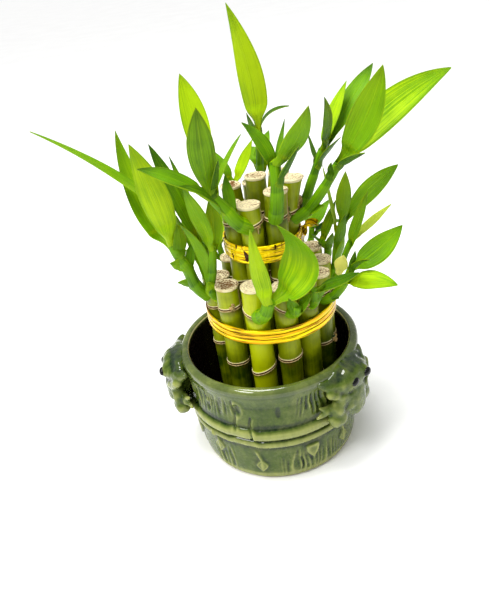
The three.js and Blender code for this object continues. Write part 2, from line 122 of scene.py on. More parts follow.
# A shoot: thickness, route of its stem, leaves as (place along the stem, tip x, y, z, width,
# where it is widest from 0 at its foot to 1 at its tip, arch, sweep, roll, tone). Tone runs from
# 0, old and deep, to 1, young and bright; what it has above 1 is how far the leaf has dried.
SHOOTS = {
    "left_outer": (7.4, ((-28, -5, 98), (-33, -7, 106), (-36, -8, 118), (-39, -9, 126),
                         (-41, -9, 133)), (
        (0.97, -49.5, -14, 185, 14.8, 0.45, 0.02, 0.02, 60, 0.75),
        (0.9, -60, 16, 184.5, 14, 0.32, -0.07, 0.035, 0, 0.6),
        (0.5, -43, -13, 124, 8, 0.4, 0.08, 0, 60, 0.5),
        (0.25, -42, -9, 110.5, 7, 0.4, 0.1, 0, 60, 0.45),
        (0.45, -32, -1, 128, 6, 0.42, 0, 0, 0, 0.25),
        (0.7, -36, -12, 143.5, 8.5, 0.42, 0, 0.05, 0, 0.3),
    )),
    "left_inner": (5.8, ((-23, -8, 98), (-25.4, -11.6, 106), (-22.6, -13.1, 118),
                         (-21, -13, 130)), (
        (0.95, -29, -21, 165, 9.5, 0.45, 0.02, 0, 20, 0.6),
        (0, -26, -17, 113, 8, 0.42, 0, 0, 30, 0.85),
        (0.3, -33, -23, 147.5, 7, 0.45, 0.1, 0, 10, 0.5),
        (0.9, -18.5, -12, 155, 9, 0.45, -0.05, 0, 60, 0.55),
        (0.35, -31, -2, 129, 5, 0.42, 0, 0, 10, 0.45),
    )),
    "left_back": (4.8, ((-26, 10, 90), (-29, 7, 100), (-27, 4, 114), (-26, 3, 126)), (
        (0.9, -94, -3, 194, 9, 0.4, 0.06, 0, -10, 0.6),
        (0.85, -45.5, 15, 176, 11, 0.5, 0.04, 0.03, -10, 0.25),
        (0.95, -37.4, 20, 167.5, 6, 0.45, 0.04, 0, 20, 0.4),
        (0.5, -38, 24, 131, 8, 0.42, 0.1, 0, 0, 0.55),
    )),
    "upper_left": (8.4, ((-2, -15, 138), (-7, -19, 143), (-12, -20, 151), (-17, -20, 158)), (
        (1, -46.5, -24, 176.5, 9, 0.5, 0.06, 0, -30, 0.35),
        (1, -23, -2, 209, 12, 0.6, 0, -0.03, -20, 0.9),
        (1, -16.6, -30, 200, 12.5, 0.53, 0, -0.02, 10, 0.3),
        (0.97, -11, -27, 177, 5, 0.45, 0, 0, 10, 0.1),
        (0.97, 0, -12, 182, 5, 0.45, 0.05, 0, 0, 0.65),
        (0.6, -29, -32, 169, 6, 0.45, 0.1, 0, -40, 0.2),
        (0.45, -10, -5, 162, 6.5, 0.45, 0, 0, 20, 0.3),
    )),
    "crown": (5.6, ((3, 17, 137), (6, 21, 144), (8, 22, 158), (9, 21, 174)), (
        (1, 1, 10, 233, 13, 0.36, 0.03, 0.035, 20, 0.9),
        (0.93, 25, 18, 184, 5, 0.45, 0.22, 0, 10, 0.15),
        (0.85, 4, 16, 184, 4.5, 0.42, 0, 0, 0, 0.2),
        (0.6, 5, 37, 161, 9, 0.42, 0.12, 0, 0, 0.5),
        (0.45, 15, 38, 168, 9, 0.42, 0.14, 0, 0, 0.4),
    )),
    "upper_front": (8, ((11, -14, 140), (12, -18, 147), (13, -20, 158), (13, -19, 170)), (
        (0.97, 29, -28, 194, 10, 0.5, -0.08, 0, -50, 0.5),
        (0.9, 20, -12, 186, 5, 0.42, 0, 0, -20, 0.3),
        (0.7, 24, -27, 178, 5, 0.42, 0, 0, -20, 0.1),
        (0.85, 1, -12, 187, 7, 0.45, 0.12, 0, -30, 0.3),
    )),
    "upper_right": (5.8, ((20, 1, 138), (27, 2, 141), (31, 3, 149), (35, 4, 158),
                          (38, 5, 165)), (
        (0.97, 39, -4, 191, 7, 0.42, 0, 0.08, 30, 0.15),
        (0.75, 32, 10, 172, 4.5, 0.42, 0, 0, 30, 0.3),
        (0.9, 53, 17, 192, 10, 0.5, 0.04, 0, -10, 0.75),
        (0.95, 67, 23, 197, 11, 0.55, 0.02, 0, 20, 0.35),
        (0.7, 46, -1, 171, 6, 0.42, 0.05, 0, -20, 0.3),
    )),
    "far_right": (6.4, ((20, -4, 134), (27, -5, 138), (34, -7, 147), (40, -8, 156),
                        (43, -8, 161)), (
        (0.97, 63, -14, 203, 14.8, 0.5, -0.05, 0, 70, 0.5),
        (0.93, 103, 18, 191, 16, 0.45, 0.075, 0, 50, 0.75),
        (0.9, 54, -16, 167, 5.5, 0.42, 0.05, 0, -40, 0.2),
        (0.7, 39, -14, 164, 4, 0.42, 0, 0, -50, 0.1),
        (0.25, 35, -10, 142, 5, 0.42, 0, 0, 30, 0.4),
    )),
    "right_top": (5.2, ((34, 12, 98), (38, 13, 103), (38, 13, 108), (34.5, 13, 112)), (
        (0.95, 44, 13, 134, 5.5, 0.42, 0, 0, 50, 0.2),
        (0.8, 30, 11, 118, 4, 0.42, 0, 0, -20, 0.3),
        (0.6, 41, 9, 118, 5, 0.42, 0, 0, -20, 0.25),
    )),
    "right_upright": (5.2, ((36, -1, 94), (40, 1, 102), (42, 3, 114), (45.5, 5, 126)), (
        (1, 48, 2, 153, 8, 0.45, 0, 0, -40, 0.45),
        (0.95, 77, 15, 148, 10.4, 0.55, 0.05, 0, 40, 0.55),
        (0.6, 46, -3, 133, 6, 0.42, 0, 0, -30, 0.3),
        (0.85, 51, 9, 131, 4.5, 0.42, 0, 0, 0, 0.1),
        (0.4, 45, -4, 121, 5, 0.42, 0, 0, -10, 0.6),
        (0.8, 38, 10, 155.5, 5, 0.42, 0, 0, 20, 0.95),
    )),
    "right_slim": (4.4, ((32, -11, 95), (38, -11, 101), (43, -10, 112), (47, -9, 121)), (
        (0.8, 55, -15, 148, 8, 0.45, 0, 0, 50, 0.4),
        (1, 69, -3, 135, 5.5, 0.45, 0.01, 0, 10, 1.3),
        (0.45, 42, -17, 117.5, 7, 0.5, 0, 0, -40, 2),
    )),
    "right_low": (5.6, ((30, -15, 92), (36, -18, 96), (42, -19, 104), (45, -19, 111)), (
        (1, 71, -16, 129, 13, 0.45, -0.05, 0, 40, 0.45),
        (0.92, 46, -26, 124, 5, 0.42, 0, 0, 20, 0.1),
        (0.88, 52, -31, 121, 4, 0.42, 0.1, 0, -30, 0.15),
        (0.7, 64, -34, 107, 12, 0.45, 0.06, 0, 20, 0.85),
        (0.25, 38, -21, 96, 4, 0.42, 0, 0, 10, 0.3),
    )),
    "front_right": (5.6, ((23, -24, 96), (25, -28, 100), (25, -30, 108)), (
        (1, 46, -35, 117, 7, 0.45, 0, 0, 20, 0.15),
        (0.6, 30, -32, 112, 5, 0.42, 0, 0, -50, 0.4),
    )),
    "front_bud": (6.4, ((12, -30, 97), (15, -35, 100), (16, -36, 104)), (
        (0.5, 12, -38, 110, 6, 0.42, 0, 0, 30, 0.25),
        (0.6, 23, -38, 111, 6, 0.42, 0, 0, 40, 0.3),
    )),
    "front": (8.8, ((-3, -30, 97), (0, -35, 101), (3, -37, 109)), (
        (0.9, -1.6, -38, 147.5, 10, 0.33, -0.02, 0, 40, 0.8),
        (0.95, 10.3, -35, 146.5, 20.4, 0.42, -0.34, 0, 40, 0.6),
    )),
    "upper_back_left": (4.4, ((-9, 10, 142), (-10, 14, 146), (-6, 16, 151)), (
        (0.95, 5.3, 22, 169, 7, 0.42, 0, 0, 20, 0.95),
        (0.9, -20, 26, 168, 7, 0.42, 0.1, 0, 0, 0.4),
    )),
    "back_right": (4.8, ((26, 25, 99), (31, 30, 104), (33, 33, 112)), (
        (0.95, 45, 40, 124, 9, 0.42, 0.06, 0, 0, 0.5),
        (0.9, 37, 56, 119, 10, 0.42, 0.14, 0, 0, 0.6),
        (0.7, 51, 34, 113, 8, 0.42, 0.14, 0, 0, 0.3),
    )),
    "back": (5, ((12, 32, 95), (13, 37, 101), (13, 40, 110)), (
        (0.95, 16, 64, 126, 11, 0.42, 0.1, 0, 0, 0.6),
        (0.9, 25, 56, 117, 9, 0.42, 0.12, 0, 0, 0.3),
        (0.6, 5, 58, 106, 10, 0.42, 0.18, 0, 0, 0.5),
        (0.95, 10, 40, 136, 8, 0.42, 0, 0, 0, 0.4),
    )),
    "back_left": (5, ((-15, 26, 94), (-19, 31, 100), (-21, 33, 110)), (
        (0.95, -33, 45, 124, 10, 0.42, 0.1, 0, 0, 0.4),
        (0.85, -25, 56, 112, 10, 0.42, 0.14, 0, 0, 0.55),
        (0.95, -13, 42, 132, 9, 0.42, 0.06, 0, 0, 0.7),
        (0.5, -42, 36, 106, 8, 0.42, 0.16, 0, 0, 0.3),
    )),
}


def srgb(red, green, blue):
    """A screen colour, 0 to 255 each, as the linear colour that a socket takes."""
    parts = [part / 255 for part in (red, green, blue)]
    return tuple(p / 12.92 if p <= 0.04045 else ((p + 0.055) / 1.055) ** 2.4 for p in parts)


def smooth(low, high, value):
    """0 below low, 1 above high and an S-shaped step between them."""
    t = min(1.0, max(0.0, (value - low) / (high - low)))
    return t * t * (3 - 2 * t)


def hump(value, centre, width):
    """A bell of height 1."""
    return math.exp(-((value - centre) / width) ** 2)


# ---- sizes and colours that a user can change ------------------------------------------------
def colour_prop(name, description, default):
    return bpy.props.FloatVectorProperty(
        name=name, description=description, default=default, size=3, min=0, max=1, subtype="COLOR")


class PotSettings(bpy.types.PropertyGroup):
    comb_depth: bpy.props.FloatProperty(
        name="Comb depth", description="Depth of the combed grooves in the pot's wall",
        default=0.65 * MM, min=0, max=2 * MM, unit="LENGTH")
    motif_height: bpy.props.FloatProperty(
        name="Motif height", description="How far the leaf and shield motifs stand proud",
        default=1.4 * MM, min=0, max=2 * MM, unit="LENGTH")
    turns: bpy.props.IntProperty(
        name="Wall steps", description="Steps round the pot", default=520, min=48, max=560)
    glaze: colour_prop("Glaze", "Glaze on the plain wall", srgb(64, 84, 18))
    pooled: colour_prop("Pooled glaze", "Glaze where it lies thick in a recess",
                        srgb(8, 34, 4))
    ridge: colour_prop("Thin glaze", "Glaze where it runs thin over an edge",
                       srgb(144, 150, 80))
    # inside: nearly black, painted shade of the pot's inside
    inside: colour_prop("Inside", "Glaze inside the pot", srgb(26, 18, 12))


class CaneSettings(bpy.types.PropertyGroup):
    swell: bpy.props.FloatProperty(
        name="Ring swell", description="How far a node ring stands proud of its cane",
        default=RING_SWELL * MM, min=0, max=1 * MM, unit="LENGTH")
    # deep also paints the shade low on the canes and under each ring
    deep: colour_prop("Deep skin", "Skin of an older cane", srgb(36, 56, 0))
    bright: colour_prop("Bright skin", "Skin of a younger cane", srgb(170, 182, 0))
    ring: colour_prop("Ring", "Dry rim of a node ring", srgb(206, 176, 112))
    scar: colour_prop("Scar", "Dark bark under a ring", srgb(92, 52, 18))
    cut: colour_prop("Cut face", "Dry wood of a cut top", srgb(248, 234, 188))
    pith: colour_prop("Pith", "Brown rings in a cut top", srgb(116, 76, 34))


class LeafSettings(bpy.types.PropertyGroup):
    thickness: bpy.props.FloatProperty(
        name="Blade thickness", description="Thickness of a leaf blade",
        default=0.45 * MM, min=0.2 * MM, max=1 * MM, unit="LENGTH")
    deep: colour_prop("Deep leaf", "Colour of an old leaf", srgb(44, 86, 0))
    middle: colour_prop("Middle leaf", "Colour of a grown leaf", srgb(98, 146, 0))
    bright: colour_prop("Bright leaf", "Colour of a young leaf", srgb(162, 196, 0))
    sheath: colour_prop("Sheath", "Pale foot of a leaf where it clasps the stem",
                        srgb(156, 186, 8))
    dry: colour_prop("Dry scale", "Dried bud scale", srgb(255, 250, 124))


class TieSettings(bpy.types.PropertyGroup):
    strands: bpy.props.IntProperty(
        name="Strands", description="Turns of foil side by side in a tie",
        default=3, min=1, max=5)
    foil: colour_prop("Foil", "Colour of the foil", srgb(255, 228, 0))
    # warm and dark paint reflections into the foil; dark also paints the shade in the grooves
    # between its strands
    warm: colour_prop("Warm foil", "Foil in the warmer reflections", srgb(232, 150, 0))
    dark: colour_prop("Dark foil", "Foil in the dark reflections", srgb(58, 30, 0))


class StageSettings(bpy.types.PropertyGroup):
    floor: colour_prop("Floor", "Colour of the floor", (0.95, 0.95, 0.945))
    key: bpy.props.FloatProperty(
        name="Soft box power", description="Power of the soft box overhead",
        default=7.0, min=0, unit="POWER")
    daylight: bpy.props.FloatProperty(
        name="Daylight", description="Strength of the broad light from above",
        default=1.9, min=0)
    sky: bpy.props.FloatProperty(
        name="Room light", description="Strength of the even light of the room",
        default=0.55, min=0)


SETTINGS = {
    "bamboo_pot": PotSettings,
    "bamboo_canes": CaneSettings,
    "bamboo_leaves": LeafSettings,
    "bamboo_ties": TieSettings,
    "bamboo_stage": StageSettings,
}


# ---- mesh helpers ----------------------------------------------------------------------------
def spun(profile, steps, layers=()):
    """Spins a profile of (radius, height, value, ...) round Z. Each further value of a point
    goes into the float layer of that name. Closed at both ends on the axis."""
    bm = bmesh.new()
    stores = [bm.verts.layers.float.new(name) for name in layers]
    row = []
    for point in profile:
        vert = bm.verts.new((point[0], 0, point[1]))
        for store, value in zip(stores, point[2:]):
            vert[store] = value
        row.append(vert)
    edges = [bm.edges.new(pair) for pair in zip(row, row[1:])]
    bmesh.ops.spin(bm, geom=row + edges, cent=(0, 0, 0), axis=(0, 0, 1), angle=TAU,
                   steps=steps, use_merge=True)
    bmesh.ops.remove_doubles(bm, verts=bm.verts, dist=1e-6)
    bmesh.ops.recalc_face_normals(bm, faces=bm.faces)
    return bm


def ball(bm, place, radii, turn=0.0, segments=20):
    """Adds a ball with its own three radii, turned about Z. Built apart, so it stays quick."""
    small = bmesh.new()
    shape = (Matrix.Translation(place) @ Matrix.Rotation(turn, 4, "Z")
             @ Matrix.Diagonal((*radii, 1)))
    bmesh.ops.create_uvsphere(small, u_segments=segments, v_segments=segments * 2 // 3,
                              radius=1, matrix=shape)
    mesh = bpy.data.meshes.new("ball")
    small.to_mesh(mesh)
    small.free()
    before = len(bm.verts)
    bm.from_mesh(mesh)
    bpy.data.meshes.remove(mesh)
    bm.verts.ensure_lookup_table()
    return [bm.verts[i] for i in range(before, len(bm.verts))]


def limb(bm, points, radii):
    """A row of overlapping balls from point to point, with a radius at each point."""
    for (a, b), (ra, rb) in zip(zip(points, points[1:]), zip(radii, radii[1:])):
        a, b = Vector(a), Vector(b)
        count = max(2, math.ceil((b - a).length / (0.45 * min(ra, rb))))
        for i in range(count + 1):
            t = i / count
            r = ra + (rb - ra) * t
            ball(bm, a.lerp(b, t), (r, r, r), segments=12)


class Route:
    """A smooth curve through points, evenly weighted by the root of their distances."""

    def __init__(self, points):
        self.points = [Vector(p) for p in points]

    def point(self, t):
        last = len(self.points) - 1
        spot = t * last
        i = min(int(spot), last - 1)
        w = spot - i
        p1, p2 = self.points[i], self.points[i + 1]
        p0 = self.points[i - 1] if i > 0 else p1 * 2 - p2
        p3 = self.points[i + 2] if i + 2 <= last else p2 * 2 - p1
        d0, d1, d2 = [(b - a).length ** 0.5 for a, b in ((p0, p1), (p1, p2), (p2, p3))]
        m1 = ((p1 - p0) / d0 - (p2 - p0) / (d0 + d1) + (p2 - p1) / d1) * d1
        m2 = ((p2 - p1) / d1 - (p3 - p1) / (d1 + d2) + (p3 - p2) / d2) * d1
        return (p1 + m1 * w + (p2 * 3 - p1 * 3 - m1 * 2 - m2) * w ** 2
                + (p1 * 2 - p2 * 2 + m1 + m2) * w ** 3)

    def heading(self, t):
        step = 0.004
        return (self.point(min(1, t + step)) - self.point(max(0, t - step))).normalized()


def smooth_shape(bm, passes):
    for _ in range(passes):
        bmesh.ops.smooth_vert(bm, verts=bm.verts, factor=0.5, use_axis_x=True, use_axis_y=True,
                              use_axis_z=True)


def mark_raised(bm, passes):
    """Stores in the layer "raised" how many mm each point stands out from a smoothed copy."""
    store = bm.verts.layers.float.new("raised")
    calm = bm.copy()
    smooth_shape(calm, passes)
    bm.normal_update()
    for vert, still in zip(bm.verts, calm.verts):
        vert[store] = (vert.co - still.co).dot(vert.normal)
    calm.free()


def add_piece(name, bm, materials, nodes, sharp=None):
    """Turns a bmesh in millimetres into a smooth piece that stands for its CAD nodes."""
    bmesh.ops.scale(bm, vec=(MM, MM, MM), verts=bm.verts)
    mesh = bpy.data.meshes.new(name)
    bm.to_mesh(mesh)
    bm.free()
    for material in materials:
        mesh.materials.append(material)
    mesh.shade_smooth()
    if sharp is not None:
        mesh.set_sharp_from_angle(angle=math.radians(sharp))
    piece = bpy.data.objects.new(name, mesh)
    bpy.context.scene.collection.objects.link(piece)
    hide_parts(*nodes)
    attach(piece, "root")
    return piece


# ---- shader helpers --------------------------------------------------------------------------
def add_node(tree, kind, sockets=None, **settings):
    """A node with its settings and its sockets' values. A value may be another node's output."""
    made = tree.nodes.new(kind)
    for key, value in settings.items():
        setattr(made, key, value)
    for key, value in (sockets or {}).items():
        if isinstance(value, bpy.types.NodeSocket):
            tree.links.new(value, made.inputs[key])
        else:
            made.inputs[key].default_value = value
    return made


def maths(tree, operation, a, b=None, clamp=False):
    sockets = {0: a} if b is None else {0: a, 1: b}
    return add_node(tree, "ShaderNodeMath", sockets, operation=operation,
                    use_clamp=clamp).outputs[0]


def times(tree, a, b, clamp=False):
    return maths(tree, "MULTIPLY", a, b, clamp)


def plus(tree, a, b):
    return maths(tree, "ADD", a, b)


def minus(tree, a, b, clamp=False):
    return maths(tree, "SUBTRACT", a, b, clamp)


def larger(tree, a, b):
    return maths(tree, "MAXIMUM", a, b)


def mix(tree, share, a, b):
    """Blends two colours."""
    made = add_node(tree, "ShaderNodeMix", data_type="RGBA", clamp_factor=True)
    for key, value in ((0, share), (6, a), (7, b)):
        if isinstance(value, bpy.types.NodeSocket):
            tree.links.new(value, made.inputs[key])
        else:
            made.inputs[key].default_value = value if key == 0 else (*value[:3], 1)
    return made.outputs[2]


def ramp(tree, value, low, high, smooth_step=True):
    """Spreads the stretch of a value from low to high over 0 to 1."""
    made = add_node(tree, "ShaderNodeMapRange", {"Value": value, "From Min": low,
                                                 "From Max": high},
                    interpolation_type="SMOOTHSTEP" if smooth_step else "LINEAR")
    return made.outputs[0]


def spread(tree, value, low, high):
    """Spreads a value from 0 to 1 over the stretch from low to high."""
    return add_node(tree, "ShaderNodeMapRange", {"Value": value, "To Min": low,
                                                 "To Max": high}).outputs[0]


def attribute(tree, name):
    return add_node(tree, "ShaderNodeAttribute", attribute_name=name).outputs["Fac"]


def new_group(name, inputs, outputs):
    """An empty shader node group with named sockets, and its two end nodes."""
    group = bpy.data.node_groups.new(name, "ShaderNodeTree")
    for label, kind, default in inputs:
        socket = group.interface.new_socket(name=label, in_out="INPUT", socket_type=kind)
        if default is not None:
            socket.default_value = default
    for label, kind in outputs:
        group.interface.new_socket(name=label, in_out="OUTPUT", socket_type=kind)
    return group, group.nodes.new("NodeGroupInput"), group.nodes.new("NodeGroupOutput")


def mottle_group():
    """Soft blotches: a mask from 0 to 1."""
    name = "Mottle"
    if name in bpy.data.node_groups:
        return bpy.data.node_groups[name]
    group, source, result = new_group(
        name,
        [("Vector", "NodeSocketVector", None), ("Scale", "NodeSocketFloat", 40.0),
         ("Low", "NodeSocketFloat", 0.35), ("High", "NodeSocketFloat", 0.65)],
        [("Mask", "NodeSocketFloat")])
    cloud = add_node(group, "ShaderNodeTexNoise",
                     {"Vector": source.outputs["Vector"], "Scale": source.outputs["Scale"],
                      "Detail": 4.0, "Roughness": 0.55})
    mask = ramp(group, cloud.outputs["Fac"], source.outputs["Low"], source.outputs["High"])
    group.links.new(mask, result.inputs["Mask"])
    return group


def streaks_group():
    """Long thin streaks along the third axis of the vector: a mask from 0 to 1."""
    name = "Lengthwise Streaks"
    if name in bpy.data.node_groups:
        return bpy.data.node_groups[name]
    group, source, result = new_group(
        name,
        [("Vector", "NodeSocketVector", None), ("Fineness", "NodeSocketFloat", 900.0),
         ("Length", "NodeSocketFloat", 20.0), ("Contrast", "NodeSocketFloat", 0.2)],
        [("Mask", "NodeSocketFloat")])
    split = add_node(group, "ShaderNodeSeparateXYZ", {0: source.outputs["Vector"]})
    across = [times(group, split.outputs[i], source.outputs["Fineness"])
              for i in (0, 1)]
    along = times(group, split.outputs[2], source.outputs["Length"])
    joined = add_node(group, "ShaderNodeCombineXYZ", {0: across[0], 1: across[1], 2: along})
    cloud = add_node(group, "ShaderNodeTexNoise",
                     {"Vector": joined.outputs[0], "Scale": 1.0, "Detail": 2.0})
    low = minus(group, 0.5, source.outputs["Contrast"])
    high = plus(group, 0.5, source.outputs["Contrast"])
    group.links.new(ramp(group, cloud.outputs["Fac"], low, high), result.inputs["Mask"])
    return group


def place_group(tree, group, vector, **values):
    made = tree.nodes.new("ShaderNodeGroup")
    made.node_tree = group
    tree.links.new(vector, made.inputs["Vector"])
    for key, value in values.items():
        made.inputs[key].default_value = value
    return made.outputs["Mask"]


def new_material(name):
    material = bpy.data.materials.new(name)
    material.use_nodes = True
    tree = material.node_tree
    tree.nodes.clear()
    result = tree.nodes.new("ShaderNodeOutputMaterial")
    skin = tree.nodes.new("ShaderNodeBsdfPrincipled")
    tree.links.new(skin.outputs[0], result.inputs["Surface"])
    place = tree.nodes.new("ShaderNodeTexCoord").outputs["Object"]
    return material, tree, skin, place


def bump(tree, skin, height, distance, strength=1.0):
    made = add_node(tree, "ShaderNodeBump", {"Height": height, "Distance": distance,
                                             "Strength": strength})
    tree.links.new(made.outputs[0], skin.inputs["Normal"])


# ---- materials -------------------------------------------------------------------------------
BARE_LIP = srgb(196, 186, 128)
BARE_FOOT = srgb(160, 140, 84)


def glaze_material(look):
    """Green pot glaze: thin and pale over edges, dark and pooled in recesses and over the rim,
    with a bare line at the mouth and a bare foot; its inside is painted shade, nearly black."""
    material, tree, skin, place = new_material("Celadon Glaze")
    raised, inside, rim, lip = (attribute(tree, key) for key in ("raised", "inside", "rim", "lip"))
    clouds = place_group(tree, mottle_group(), place, Scale=60.0, Low=0.3, High=0.7)
    patches = place_group(tree, mottle_group(), place, Scale=150.0, Low=0.35, High=0.65)
    speck = place_group(tree, mottle_group(), place, Scale=420.0, Low=0.42, High=0.66)
    runs = place_group(tree, streaks_group(), place, Fineness=330.0, Length=28.0, Contrast=0.22)
    uneven = times(tree, minus(tree, clouds, 0.5), 0.12)
    thin = plus(tree, raised, uneven)
    thin = minus(tree, thin, times(tree, rim, 0.3))
    colour = mix(tree, ramp(tree, thin, 0.02, -0.3), look.glaze, look.pooled)
    bare = times(tree, ramp(tree, thin, 0.035, 0.7), minus(tree, 1.0, times(tree, rim, 0.8)))
    colour = mix(tree, bare, colour, look.ridge)
    bloom = times(tree, times(tree, patches, clouds), 0.36)
    colour = mix(tree, bloom, colour, look.ridge)
    colour = mix(tree, times(tree, runs, 0.22), colour, look.pooled)
    colour = mix(tree, times(tree, speck, 0.07), colour, look.ridge)
    thick = times(tree, rim, ramp(tree, clouds, 1.6, 0.0))
    colour = mix(tree, times(tree, thick, 0.45), colour, look.pooled)
    # painted shade: the lining and the bed inside the pot are coloured nearly black
    colour = mix(tree, inside, colour, look.inside)
    colour = mix(tree, ramp(tree, lip, 0.45, 0.8), colour, BARE_LIP)
    height = add_node(tree, "ShaderNodeSeparateXYZ", {0: place}).outputs[2]
    foot = ramp(tree, height, 1.1 * MM, 0.5 * MM)
    colour = mix(tree, times(tree, foot, 0.6), colour, BARE_FOOT)
    tree.links.new(colour, skin.inputs["Base Color"])
    rough = spread(tree, speck, 0.2, 0.34)
    tree.links.new(rough, skin.inputs["Roughness"])
    skin.inputs["Specular IOR Level"].default_value = 0.1
    shine = spread(tree, ramp(tree, rim, 0.75, 1.0), 0.32, 0.95)
    tree.links.new(shine, skin.inputs["Coat Weight"])
    skin.inputs["Coat Roughness"].default_value = 0.05
    waves = add_node(tree, "ShaderNodeTexNoise", {"Vector": place, "Scale": 190.0, "Detail": 2.0})
    bump(tree, skin, waves.outputs["Fac"], 0.3 * MM, 0.5)
    return material


def eye_material():
    """Black shining eye glaze."""
    material, tree, skin, place = new_material("Black Eye Glaze")
    speck = place_group(tree, mottle_group(), place, Scale=700.0, Low=0.4, High=0.7)
    colour = mix(tree, speck, srgb(1, 2, 1), srgb(7, 9, 6))
    tree.links.new(colour, skin.inputs["Base Color"])
    skin.inputs["Roughness"].default_value = 0.12
    skin.inputs["Specular IOR Level"].default_value = 0.15
    skin.inputs["Coat Weight"].default_value = 0.25
    skin.inputs["Coat Roughness"].default_value = 0.04
    return material


def cane_material(look):
    """Waxy cane skin, its dry rings and the dry wood of its cut top, with painted shade low down
    and under each ring.
    """
    material, tree, skin, place = new_material("Bamboo Cane")
    tone, scar, halo = (attribute(tree, key) for key in ("tone", "scar", "halo"))
    cut, dry, radial, pith = (attribute(tree, key) for key in ("cut", "dry", "radial", "pith"))
    clouds = place_group(tree, mottle_group(), place, Scale=75.0, Low=0.25, High=0.75)
    blotch = place_group(tree, mottle_group(), place, Scale=210.0, Low=0.45, High=0.7)
    lines = place_group(tree, streaks_group(), place, Fineness=900.0, Length=16.0, Contrast=0.25)
    young = plus(tree, tone, times(tree, minus(tree, clouds, 0.5), 0.45))
    young = plus(tree, young, times(tree, lines, 0.12))
    height = add_node(tree, "ShaderNodeSeparateXYZ", {0: place}).outputs[2]
    # painted shade: the skin darkens from 82 mm down to 56 mm, towards the pot, less on the
    # brightest canes
    shade = ramp(tree, height, 82 * MM, 56 * MM)
    shade = times(tree, shade, minus(tree, 1.15, tone))
    young = minus(tree, young, times(tree, shade, 0.6), clamp=True)
    colour = mix(tree, young, look.deep, look.bright)
    # painted shade: the band just under each ring is darkened towards the deep skin; its brown
    # blotches are stains
    colour = mix(tree, times(tree, halo, 0.55), colour, look.deep)
    stain = times(tree, halo, blotch)
    colour = mix(tree, times(tree, stain, 0.55), colour, look.scar)
    bark = mix(tree, blotch, look.scar, look.deep)
    colour = mix(tree, ramp(tree, scar, 0.25, 0.85), colour, bark)
    # the cut: growth rings, fibres and a brown pith
    rings = maths(tree, "SINE", plus(tree, times(tree, radial, 26.0), times(tree, clouds, 5.0)))
    fibres = place_group(tree, mottle_group(), place, Scale=1500.0, Low=0.35, High=0.62)
    pores = place_group(tree, mottle_group(), place, Scale=900.0, Low=0.5, High=0.62)
    brown = times(tree, ramp(tree, rings, -0.1, 0.9), fibres)
    brown = larger(tree, brown, pores)
    core = ramp(tree, radial, 0.95, 0.25)
    brown = plus(tree, times(tree, brown, 0.85), times(tree, times(tree, core, pith), 0.55))
    brown = times(tree, brown, plus(tree, 0.4, pith), clamp=True)
    wood = mix(tree, brown, look.cut, look.pith)
    dry_wood = mix(tree, larger(tree, blotch, halo), look.cut, look.ring)
    frayed = times(tree, times(tree, fibres, halo), 0.65)
    dry_wood = mix(tree, frayed, dry_wood, look.scar)
    colour = mix(tree, ramp(tree, dry, 0.2, 0.7), colour, dry_wood)
    colour = mix(tree, cut, colour, wood)
    tree.links.new(colour, skin.inputs["Base Color"])
    woody = larger(tree, larger(tree, cut, dry), scar)
    rough = spread(tree, woody, 0.34, 0.85)
    tree.links.new(rough, skin.inputs["Roughness"])
    skin.inputs["Specular IOR Level"].default_value = 0.22
    relief = plus(tree, times(tree, lines, 0.25), times(tree, times(tree, fibres, woody), 1.6))
    bump(tree, skin, relief, 0.22 * MM)
    return material


def leaf_material(look):
    """Leaf blades and sheaths: fine veins along the blade, a pale clasping foot."""
    material, tree, skin, place = new_material("Bamboo Leaf")
    tone, dry = attribute(tree, "tone"), attribute(tree, "dry")
    blade = tree.nodes.new("ShaderNodeUVMap")
    blade.uv_map = "Blade"
    split = add_node(tree, "ShaderNodeSeparateXYZ", {0: blade.outputs[0]})
    across, along = split.outputs[0], split.outputs[1]
    warped = add_node(tree, "ShaderNodeCombineXYZ",
                      {0: across, 1: attribute(tree, "seed"), 2: along})
    veins = place_group(tree, streaks_group(), warped.outputs[0], Fineness=34.0, Length=1.6,
                        Contrast=0.28)
    fine = place_group(tree, streaks_group(), warped.outputs[0], Fineness=120.0, Length=3.0,
                       Contrast=0.25)
    clouds = place_group(tree, mottle_group(), place, Scale=45.0, Low=0.25, High=0.75)
    middle = maths(tree, "ABSOLUTE", minus(tree, across, 0.5))
    rib = ramp(tree, middle, 0.035, 0.0)
    edge = ramp(tree, middle, 0.40, 0.5)
    hem = ramp(tree, middle, 0.475, 0.495)
    value = plus(tree, tone, times(tree, minus(tree, veins, 0.5), 0.34))
    value = plus(tree, value, times(tree, minus(tree, clouds, 0.5), 0.30))
    value = minus(tree, value, times(tree, edge, 0.18))
    tip = ramp(tree, along, 0.72, 1.0)
    value = minus(tree, value, times(tree, tip, 0.22))
    low = mix(tree, ramp(tree, value, 0.0, 0.5), look.deep, look.middle)
    colour = mix(tree, ramp(tree, value, 0.5, 1.0), low, look.bright)
    colour = mix(tree, times(tree, fine, 0.12), colour, look.middle)
    colour = mix(tree, times(tree, rib, 0.22), colour, look.sheath)
    colour = mix(tree, times(tree, hem, 0.45), colour, look.sheath)
    foot = ramp(tree, along, 0.16, 0.0)
    colour = mix(tree, times(tree, foot, 0.45), colour, look.sheath)
    colour = mix(tree, dry, colour, look.dry)
    tree.links.new(colour, skin.inputs["Base Color"])
    rough = spread(tree, tone, 0.24, 0.55)
    tree.links.new(rough, skin.inputs["Roughness"])
    skin.inputs["Specular IOR Level"].default_value = 0.14
    skin.inputs["Subsurface Weight"].default_value = 0.15
    skin.inputs["Subsurface Radius"].default_value = (0.9, 1.0, 0.02)
    skin.inputs["Subsurface Scale"].default_value = 1.2 * MM
    relief = plus(tree, veins, times(tree, fine, 0.4))
    relief = minus(tree, relief, rib)
    bump(tree, skin, relief, 0.12 * MM)
    return material


